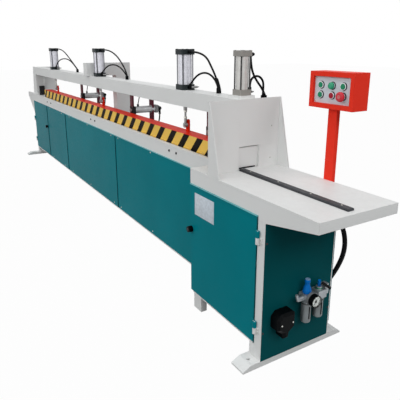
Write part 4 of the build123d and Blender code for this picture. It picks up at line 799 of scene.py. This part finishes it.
# %% Collars and throttles
UPPER_PORT_DX, UPPER_PORT_Z = 0.064, 1.465
LOWER_PORT_DX, LOWER_PORT_Z = 0.067, 1.2605
LOCK_PORT_Y, LOCK_PORT_Z = 0.338, 0.928
STEM_Y, TIP_Y, THROTTLE_Z = 0.011, 0.047, 1.247
GATE_TIP_AT, GATE_PLUG_AT = (2.165, 0.058, 1.260), (2.165, 0.056, 1.457)
DOWN = (math.pi, 0.0, 0.0)
ports = [((x + UPPER_PORT_DX, CYLINDER_Y, UPPER_PORT_Z), NEAR) for x in PRESS_AT]
ports += [((x + LOWER_PORT_DX, CYLINDER_Y, LOWER_PORT_Z), UP) for x in PRESS_AT]
ports += [((x, LOCK_PORT_Y, LOCK_PORT_Z), DOWN) for x in LOCK_AT]
collar = turned(18, [(0.0095, 0.0), (0.0105, 0.001), (0.0105, 0.0065), (0.0085, 0.0095), (0.0068, 0.0095)])
fit(collar, ports, "hose_collars", "frame", "black_plastic", black_moulding)
stems = [((x + LOWER_PORT_DX, STEM_Y, THROTTLE_Z), BACK) for x in PRESS_AT]
stem = turned(14, [(0.0075, 0.0), (0.0075, 0.030), (0.0085, 0.031), (0.0085, 0.036), (0.005, 0.037)])
fit(stem, stems, "throttle_stems", "frame", "steel", rod_steel)
tips = [((x + LOWER_PORT_DX, TIP_Y, THROTTLE_Z), BACK) for x in PRESS_AT] + [(GATE_TIP_AT, BACK)]
tip = turned(14, [(0.0045, 0.0), (0.0045, 0.004), (0.0062, 0.005), (0.0062, 0.010), (0.0036, 0.011),
                  (0.0036, 0.020), (0.002, 0.021)])
fit(tip, tips, "throttle_tips", "frame", "steel", rod_steel)
plug = turned(16, [(0.0085, 0.0), (0.0095, 0.002), (0.0095, 0.012), (0.0075, 0.017), (0.003, 0.018)])
fit(plug, [(GATE_PLUG_AT, BACK)], "gate_port_plug", "frame", "black_plastic", black_moulding)

# %% Hose wrap
WRAP_RINGS = ((1.8735, 0.048, 1.2290, 0.0125), (1.871, 0.048, 1.250, 0.0122), (1.864, 0.047, 1.275, 0.0112),
              (1.853, 0.046, 1.300, 0.0104), (1.847, 0.045, 1.313, 0.0098), (1.845, 0.045, 1.316, 0.008))


def drawn(sides, rings):
    x, y, z, radius = rings[0]
    clear_selection()
    bpy.ops.mesh.primitive_circle_add(vertices=sides, radius=radius, fill_type="NGON")
    bpy.ops.object.mode_set(mode="EDIT")
    bpy.ops.transform.translate(value=(x, y, z))
    for nx, ny, nz, wide in rings[1:]:
        bpy.ops.mesh.extrude_region_move(TRANSFORM_OT_translate={"value": (nx - x, ny - y, nz - z)})
        bpy.ops.transform.resize(value=(wide / radius, wide / radius, 1.0), center_override=(nx, ny, nz))
        x, y, z, radius = nx, ny, nz, wide
    bpy.ops.mesh.select_all(action="SELECT")
    bpy.ops.mesh.normals_make_consistent(inside=False)
    bpy.ops.object.mode_set(mode="OBJECT")
    return bpy.context.object


settle(drawn(20, WRAP_RINGS), "hose_wrap", "frame", "black_rubber", hose_rubber)

# %% [markdown]
# ## Sleeves and end caps of the lock cylinders
# Each lock cylinder passes through its rear plate in a short sleeve and ends in a rounded
# cap. Both are turned parts, so they are circles extruded ring by ring. The sleeve is
# closed into a ring, because the barrel runs through it.

# %% Barrel sleeves in the rear plates and round ends
LOCK_Z = 0.970
SLEEVE_Y, END_CAP_Y = 0.248, 0.310
sleeve = turned(36, [(0.0335, 0.0), (0.0345, 0.001), (0.0345, 0.022), (0.0335, 0.023), (0.0301, 0.023),
                     (0.0301, 0.0)], closed=True)
spots = [((x, SLEEVE_Y, LOCK_Z), BACK) for x in LOCK_AT]
fit(sleeve, spots, "lock_sleeves", "frame", "aluminium", cross_tube)
end_cap = turned(30, [(0.0250, 0.0), (0.0262, 0.002), (0.0262, 0.014), (0.0235, 0.020), (0.0150, 0.023),
                      (0.0120, 0.023)])
spots = [((x, END_CAP_Y, LOCK_Z), BACK) for x in LOCK_AT]
fit(end_cap, spots, "lock_end_caps", "frame", "black_plastic", black_moulding)

# %% [markdown]
# ## Seams between the sheets
# Between the teal sheets runs a dark rubber seal with a raised bead, whose black also stands
# in for the shade at the sheets' edges, and at the rear a white cover closes the joint of bed
# and cabinet. Both are bevelled blocks, since a bevel on every edge is what makes thin sheet
# read as a real thing.

# %% Seals and rear joint cover
DOOR_SEAM_X = -1.9522
SEAM_X = (-1.095, 0.461)
SEAL_STEM, SEAL_STEM_YZ = (0.0016, 0.0020, 0.655), (-0.0835, 0.4345)
SEAL_BEAD, SEAL_BEAD_YZ = (0.0034, 0.0045, 0.652), (-0.08725, 0.4330)
REAR_COVER_AT, REAR_COVER = (2.0595, 0.2005, 0.4345), (0.0230, 0.0030, 0.656)
stems = spread(bevelled_block(SEAL_STEM, 0.0003), [((x, *SEAL_STEM_YZ), UP) for x in SEAM_X])
bead_spots = [((x, *SEAL_BEAD_YZ), UP) for x in (DOOR_SEAM_X, *SEAM_X)]
beads = spread(bevelled_block(SEAL_BEAD, 0.0010), bead_spots)
# The seals' black rubber is also painted shade at the sheets' edges.
settle(weld_together([stems, beads]), "panel_seals_with_shade", "frame", "black_rubber", hose_rubber)
cover = block_at(REAR_COVER_AT, REAR_COVER, 0.0008)
settle(cover, "rear_joint_cover", "frame", "white_paint", white_frame)

# %% [markdown]
# ## Folded edges, sills and wipers
# The teal sheets are folded at the top, and the folds take a paler teal as a painted highlight
# along their top edge, while the door's side fold takes the darker end teal as painted shade.
# Below them the white sill of the frame shows, the front post widens behind the door, a rubber
# wiper closes the gate at the table, its black also standing in for the shadow gap under the
# gate, and the tape on the beam hangs down to the bed. Lines in a material could stand for
# them, but blocks that are scaled in edit mode and bevelled catch light on edges of their own.

# %% Folded edges
FOLD_Z, FOLD_HIGH, FOLD_EDGE = 0.7612, 0.0050, 0.0012
PANEL_FOLDS = ((-0.3170, 1.5520), (1.2545, 1.5820))
PANEL_FOLD_YZ, PANEL_FOLD = (-0.0874, FOLD_Z), (0.0052, FOLD_HIGH)
DOOR_FOLD_AT, DOOR_FOLD = (2.3515, -0.2570, FOLD_Z), (0.6030, 0.0058, FOLD_HIGH)
SIDE_FOLDS = ((0.152, 0.092), (0.4475, 0.427), (0.7275, 0.061))
SIDE_FOLD_XY, SIDE_FOLD = (2.6528, -0.2569), (0.0018, 0.0056)
# The top folds are painted paler teal as a highlight.
tops = [block_at((x, *PANEL_FOLD_YZ), (long, *PANEL_FOLD), FOLD_EDGE) for x, long in PANEL_FOLDS]
settle(weld_together(tops), "panel_top_folds", "frame", "teal_paint", highlight_teal)
fold = block_at(DOOR_FOLD_AT, DOOR_FOLD, FOLD_EDGE)
settle(fold, "door_top_fold", "near_door", "teal_paint", highlight_teal)
sides = [block_at((*SIDE_FOLD_XY, z), (*SIDE_FOLD, high), 0.0004) for z, high in SIDE_FOLDS]
settle(weld_together(sides), "door_side_fold", "near_door", "teal_paint", shaded_end_teal)

# %% Sills, post foot, gate wiper and beam skirt, each by its place, size and bevel
BED_SILL = (-0.3280, -0.0815, 0.09975), (4.7440, 0.0060, 0.0095), 0.0010
DOOR_SILL = (2.3630, -0.2500, 0.1010), (0.5820, 0.0070, 0.0070), 0.0010
POST_FOOT = (2.6355, -0.23375, 0.0635), (0.0390, 0.0385, 0.0670), 0.0020
GATE_WIPER_SHADE = (2.2297, -0.0035, 0.8606), (0.0066, 0.1100, 0.0060), 0.0010
BEAM_SKIRT = (-0.0325, -0.0454, 0.86425), (4.2650, 0.0008, 0.0155), 0.0002
sills = [block_at(*BED_SILL), block_at(*DOOR_SILL)]
settle(weld_together(sills), "frame_sills", "frame", "white_paint", white_frame)
settle(block_at(*POST_FOOT), "post_foot_plate", "frame", "white_paint", white_frame)
# The wiper's black rubber is also painted shade for the gap under the gate.
settle(block_at(*GATE_WIPER_SHADE), "gate_wiper_and_shade", "gate", "black_rubber", hose_rubber)
settle(block_at(*BEAM_SKIRT), "beam_skirt", "press", "red_paint", striped_beam)

# %% [markdown]
# ## Plate on the near door
# A thin pale plate is glued to the door above its knob. It could be a patch of colour on
# the door, but a bevelled block has an edge that catches light, and it swings along.

# %% Door plate
DOOR_PLATE = (2.1925, -0.2547, 0.657), (0.193, 0.0014, 0.126), 0.0005
settle(block_at(*DOOR_PLATE), "door_plate", "near_door", "white_paint", pale_card)

# %% [markdown]
# ## Gauge dial, bowls and knobs of the air unit
# The gauge needs a white dial with marks behind its glass, the bowls have a dark sight
# strip, and the regulator knob is fluted with a grey cap. Nodes could paint the dial, but
# modelled marks stay sharp up close. So the dial is a turned disc, and its marks, like the
# flutes, are one bevelled block copied round a circle.

# %% Gauge dial
AIR_X, FILTER_Y, OILER_Y = 2.745, -0.011, 0.069
GAUGE_Z = 0.333
DIAL_X, HUB_X, MARKS_X = 2.806, 2.80622, 2.8063
MARK_COUNT, FIRST_MARK, MARK_STEP = 13, 225.0, 22.5
MARK_RING, MARK = 0.0215, (0.0002, 0.0050, 0.0013)
face = turned(40, [(0.0262, 0.0), (0.0262, 0.0002), (0.024, 0.00025)])
fit(face, [((DIAL_X, FILTER_Y, GAUGE_Z), NEAR)], "gauge_dial", "frame", "white_paint", dial_white)
marks = []
for step in range(MARK_COUNT):
    a = math.radians(FIRST_MARK - MARK_STEP * step)
    y, z = FILTER_Y + MARK_RING * math.cos(a), GAUGE_Z + MARK_RING * math.sin(a)
    marks.append(((MARKS_X, y, z), (a, 0.0, 0.0)))
fit(bevelled_block(MARK, 0.00005), marks, "gauge_marks", "frame", "black_plastic", black_moulding)
hub = turned(24, [(0.0085, 0.0), (0.0085, 0.0001), (0.007, 0.0002)])
fit(hub, [((HUB_X, FILTER_Y, GAUGE_Z), NEAR)], "gauge_hub", "frame", "black_plastic", black_moulding)

# %% Sight strips, bands and the inlet elbow
SIGHT_X, SIGHT_Z, BAND_Z = 2.7672, 0.250, 0.297
INLET_NUT_AT, INLET_STUB_AT = (AIR_X, -0.0585, 0.329), (AIR_X, -0.0650, 0.321)
STUB_LEAN = (0.35, 0.0, 0.0)
bowls = (FILTER_Y, OILER_Y)
sights = [((SIGHT_X, y, SIGHT_Z), UP) for y in bowls]
sight = bevelled_block((0.0030, 0.0086, 0.0665), 0.0006)
fit(sight, sights, "sight_strips", "frame", "black_plastic", black_moulding)
band = turned(28, [(0.0272, 0.0), (0.0282, 0.001), (0.0282, 0.004), (0.0272, 0.005), (0.0245, 0.005),
                   (0.0245, 0.0)], closed=True)
fit(band, [((AIR_X, y, BAND_Z), UP) for y in bowls], "bowl_bands", "frame", "steel", dark_screw)
elbow = spread(hex_nut(0.0130, 0.009), [(INLET_NUT_AT, FRONT)])
stub = turned(16, [(0.0070, 0.0), (0.0090, 0.003), (0.0090, 0.020), (0.0075, 0.024), (0.0075, 0.036),
                   (0.005, 0.037)])
port = spread(stub, [(INLET_STUB_AT, STUB_LEAN)])
settle(weld_together([elbow, port]), "air_inlet_elbow", "frame", "aluminium", cast_alloy)

# %% Regulator knob and drip ring
BELL = [(0.0195, 0.0), (0.0212, 0.0015), (0.0212, 0.012), (0.0200, 0.020), (0.0168, 0.030), (0.0140, 0.038),
        (0.0122, 0.045), (0.0120, 0.050), (0.0138, 0.055), (0.0140, 0.066), (0.0130, 0.070), (0.0126, 0.071)]
BELL_FOOT, BELL_TOP, DRIP_FOOT = 0.3505, 0.4214, 0.3535
FLUTE_COUNT, FLUTE_RING, FLUTE_Z = 20, 0.0209, 0.3585
FLUTE = (0.0014, 0.0026, 0.012)
knob = spread(turned(32, BELL), [((AIR_X, FILTER_Y, BELL_FOOT), UP)])
ribs = upright_ring(AIR_X, FILTER_Y, FLUTE_Z, FLUTE_RING, FLUTE_COUNT)
flutes = spread(bevelled_block(FLUTE, 0.0004), ribs)
bell = settle(weld_together([knob, flutes]), "regulator_bell", "regulator_knob", "blue_plastic", knob_blue)
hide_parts("regulator_knob")
cap = turned(20, [(0.0125, 0.0), (0.0125, 0.002), (0.0105, 0.0035), (0.004, 0.0035), (0.0035, 0.002)])
fit(cap, [((AIR_X, FILTER_Y, BELL_TOP), UP)], "regulator_cap", "regulator_knob", "grey_plastic", grey_cap)
drip = turned(24, [(0.0168, 0.0), (0.0172, 0.001), (0.0172, 0.0035), (0.0164, 0.0045), (0.0158, 0.0045),
                   (0.0158, 0.0)], closed=True)
fit(drip, [((AIR_X, OILER_Y, DRIP_FOOT), UP)], "drip_ring", "frame", "green_plastic", green_button)

# %% [markdown]
# ## Control panel fittings
# A black gasket ring shows behind each bezel, and its black also stands in for the shade
# beside each bezel. A coloured ring frames each push button, the emergency stop has a paler
# centre, and a narrow collar runs round the post. A torus would be too round for the rings,
# so they are circles extruded up, across and back down to where they began, and then merged
# into one closed skin.

# %% Gaskets and button rings
LEFT, MIDDLE, RIGHT = 2.552, 2.623, 2.691
UPPER_ROW, LOWER_ROW = 1.318, 1.272
RING_Y = 0.183
# The gaskets' black rubber is also painted shade beside the bezels.
gasket = turned(32, [(0.0190, 0.0), (0.0190, 0.0012), (0.0183, 0.0018), (0.0150, 0.0018), (0.0150, 0.0)],
                closed=True)
spots = [((x, CONTROL_FACE_Y, z), FRONT) for z in (UPPER_ROW, LOWER_ROW) for x in (LEFT, MIDDLE, RIGHT)]
fit(gasket, spots, "bezel_gaskets", "frame", "black_rubber", black_moulding)
ring = [(0.01115, 0.0), (0.01115, 0.0010), (0.0118, 0.0013), (0.0132, 0.0013), (0.0140, 0.0008),
        (0.0140, 0.0)]
spots = [((x, RING_Y, z), FRONT) for x, z in ((LEFT, UPPER_ROW), (RIGHT, UPPER_ROW), (LEFT, LOWER_ROW))]
fit(turned(32, ring, closed=True), spots, "green_rings", "frame", "green_plastic", green_button)
spots = [((MIDDLE, RING_Y, LOWER_ROW), FRONT)]
fit(turned(32, ring, closed=True), spots, "dark_red_ring", "frame", "dark_red_plastic", dark_red_button)

# %% Emergency stop
STOP_Y, STOP_FACE_Y = 0.1755, 0.1600
dome = turned(36, [(0.0205, 0.0), (0.0230, 0.0015), (0.0230, 0.0085), (0.0218, 0.0120), (0.0180, 0.0148),
                   (0.0110, 0.0160), (0.0100, 0.0156)])
head = fit(dome, [((RIGHT, STOP_Y, LOWER_ROW), FRONT)], "stop_dome", "stop_head", "red_plastic", stop_red)
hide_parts("stop_head")
centre = turned(28, [(0.0095, 0.0), (0.0090, 0.0006), (0.0060, 0.0009), (0.0050, 0.0005)])
spots = [((RIGHT, STOP_FACE_Y, LOWER_ROW), FRONT)]
fit(centre, spots, "stop_centre", "stop_head", "red_plastic", stop_pale)

# %% Post collar and conduit glands
POST_X, CONDUIT_Y, GLAND_Z = 2.615, 0.226, (0.230, 0.7565)
POST_COLLAR = (POST_X, 0.223, 0.951), (0.0575, 0.0215, 0.004), 0.0006
settle(block_at(*POST_COLLAR), "post_collar", "frame", "red_paint", red_box)
gland = turned(18, [(0.0155, 0.0), (0.0175, 0.003), (0.0175, 0.012), (0.0165, 0.014), (0.0122, 0.014),
                    (0.0122, 0.0)], closed=True)
spots = [((POST_X, CONDUIT_Y, z), UP) for z in GLAND_Z]
fit(gland, spots, "conduit_glands", "frame", "black_plastic", black_moulding)

# %% [markdown]
# ## Louvres and the pump motor
# The rear of the near cabinet needs air for the motor, so its sheet gets a stack of
# pressed louvres, and the motor inside gets cooling ribs and a terminal box, which show
# when the door is open. Each louvre could be cut and bent from the sheet, but from outside
# only its slope shows, so it is a block whose lower edge is pulled outward.

# %% Louvres
LOUVRE_X, LOUVRE_Y = 2.36, 0.2005
LOUVRE_LOW, LOUVRE_STEP, LOUVRE_COUNT = 0.30, 0.032, 8
LOUVRE, LOUVRE_PULL = (0.180, 0.006, 0.016), 0.006


def louvre():
    piece = bevelled_block(LOUVRE, 0.001)
    choose(piece)
    bpy.ops.object.mode_set(mode="EDIT")
    skin = bmesh.from_edit_mesh(piece.data)
    for vertex in skin.verts:
        vertex.select_set(vertex.co.y > 0.0 and vertex.co.z < 0.0)
    skin.select_flush_mode()
    bmesh.update_edit_mesh(piece.data)
    bpy.ops.transform.translate(value=(0.0, LOUVRE_PULL, 0.0))
    bpy.ops.object.mode_set(mode="OBJECT")
    return piece


stack = [((LOUVRE_X, LOUVRE_Y, LOUVRE_LOW + LOUVRE_STEP * k), UP) for k in range(LOUVRE_COUNT)]
fit(louvre(), stack, "cabinet_louvres", "frame", "teal_paint", teal_panel)

# %% Motor ribs and terminal box
MOTOR_X, MOTOR_Y = 2.335, -0.020
FIN_COUNT, FIN_RING, FIN_Z = 28, 0.0768, 0.505
FIN = (0.0070, 0.0030, 0.150)
TERMINAL_BOX = (MOTOR_X, -0.110, 0.520), (0.080, 0.040, 0.070), 0.005
fins = upright_ring(MOTOR_X, MOTOR_Y, FIN_Z, FIN_RING, FIN_COUNT)
fit(bevelled_block(FIN, 0.0008), fins, "motor_fins", "frame", "grey_paint", tank_grey)
settle(block_at(*TERMINAL_BOX), "motor_terminal_box", "frame", "grey_paint", tank_grey)

# %% [markdown]
# ## Latch knobs
# The two door knobs are round grips with ribs, so that a hand can turn them. The ribs could
# be bumps in the plastic, but they show at the knob's edge, so one rib is modelled and
# copied round it. A small lock core closes the front.

# %% Latch ribs and cores
LATCHES = (("near_latch", 2.060, -0.2805, 0.495), ("far_latch", -1.990, -0.1115, 0.490))
RIB_COUNT, RIB_RING, RIB_SINK = 16, 0.0168, 0.014
RIB = (0.0016, 0.018, 0.0028)
CORE = [(0.0085, 0.0), (0.0085, 0.0012), (0.0075, 0.0018), (0.0030, 0.0018), (0.0026, 0.0008)]
for body, x, face_y, z in LATCHES:
    ribs = []
    for a in full_circle(RIB_COUNT):
        spot = (x + RIB_RING * math.cos(a), face_y + RIB_SINK, z + RIB_RING * math.sin(a))
        ribs.append((spot, (0.0, -a, 0.0)))
    fit(bevelled_block(RIB, 0.0005), ribs, body + "_ribs", body, "black_plastic", black_moulding)
    fit(turned(20, CORE), [((x, face_y, z), FRONT)], body + "_core", body, "steel", dark_screw)

# %% Update the scene
bpy.context.view_layer.update()
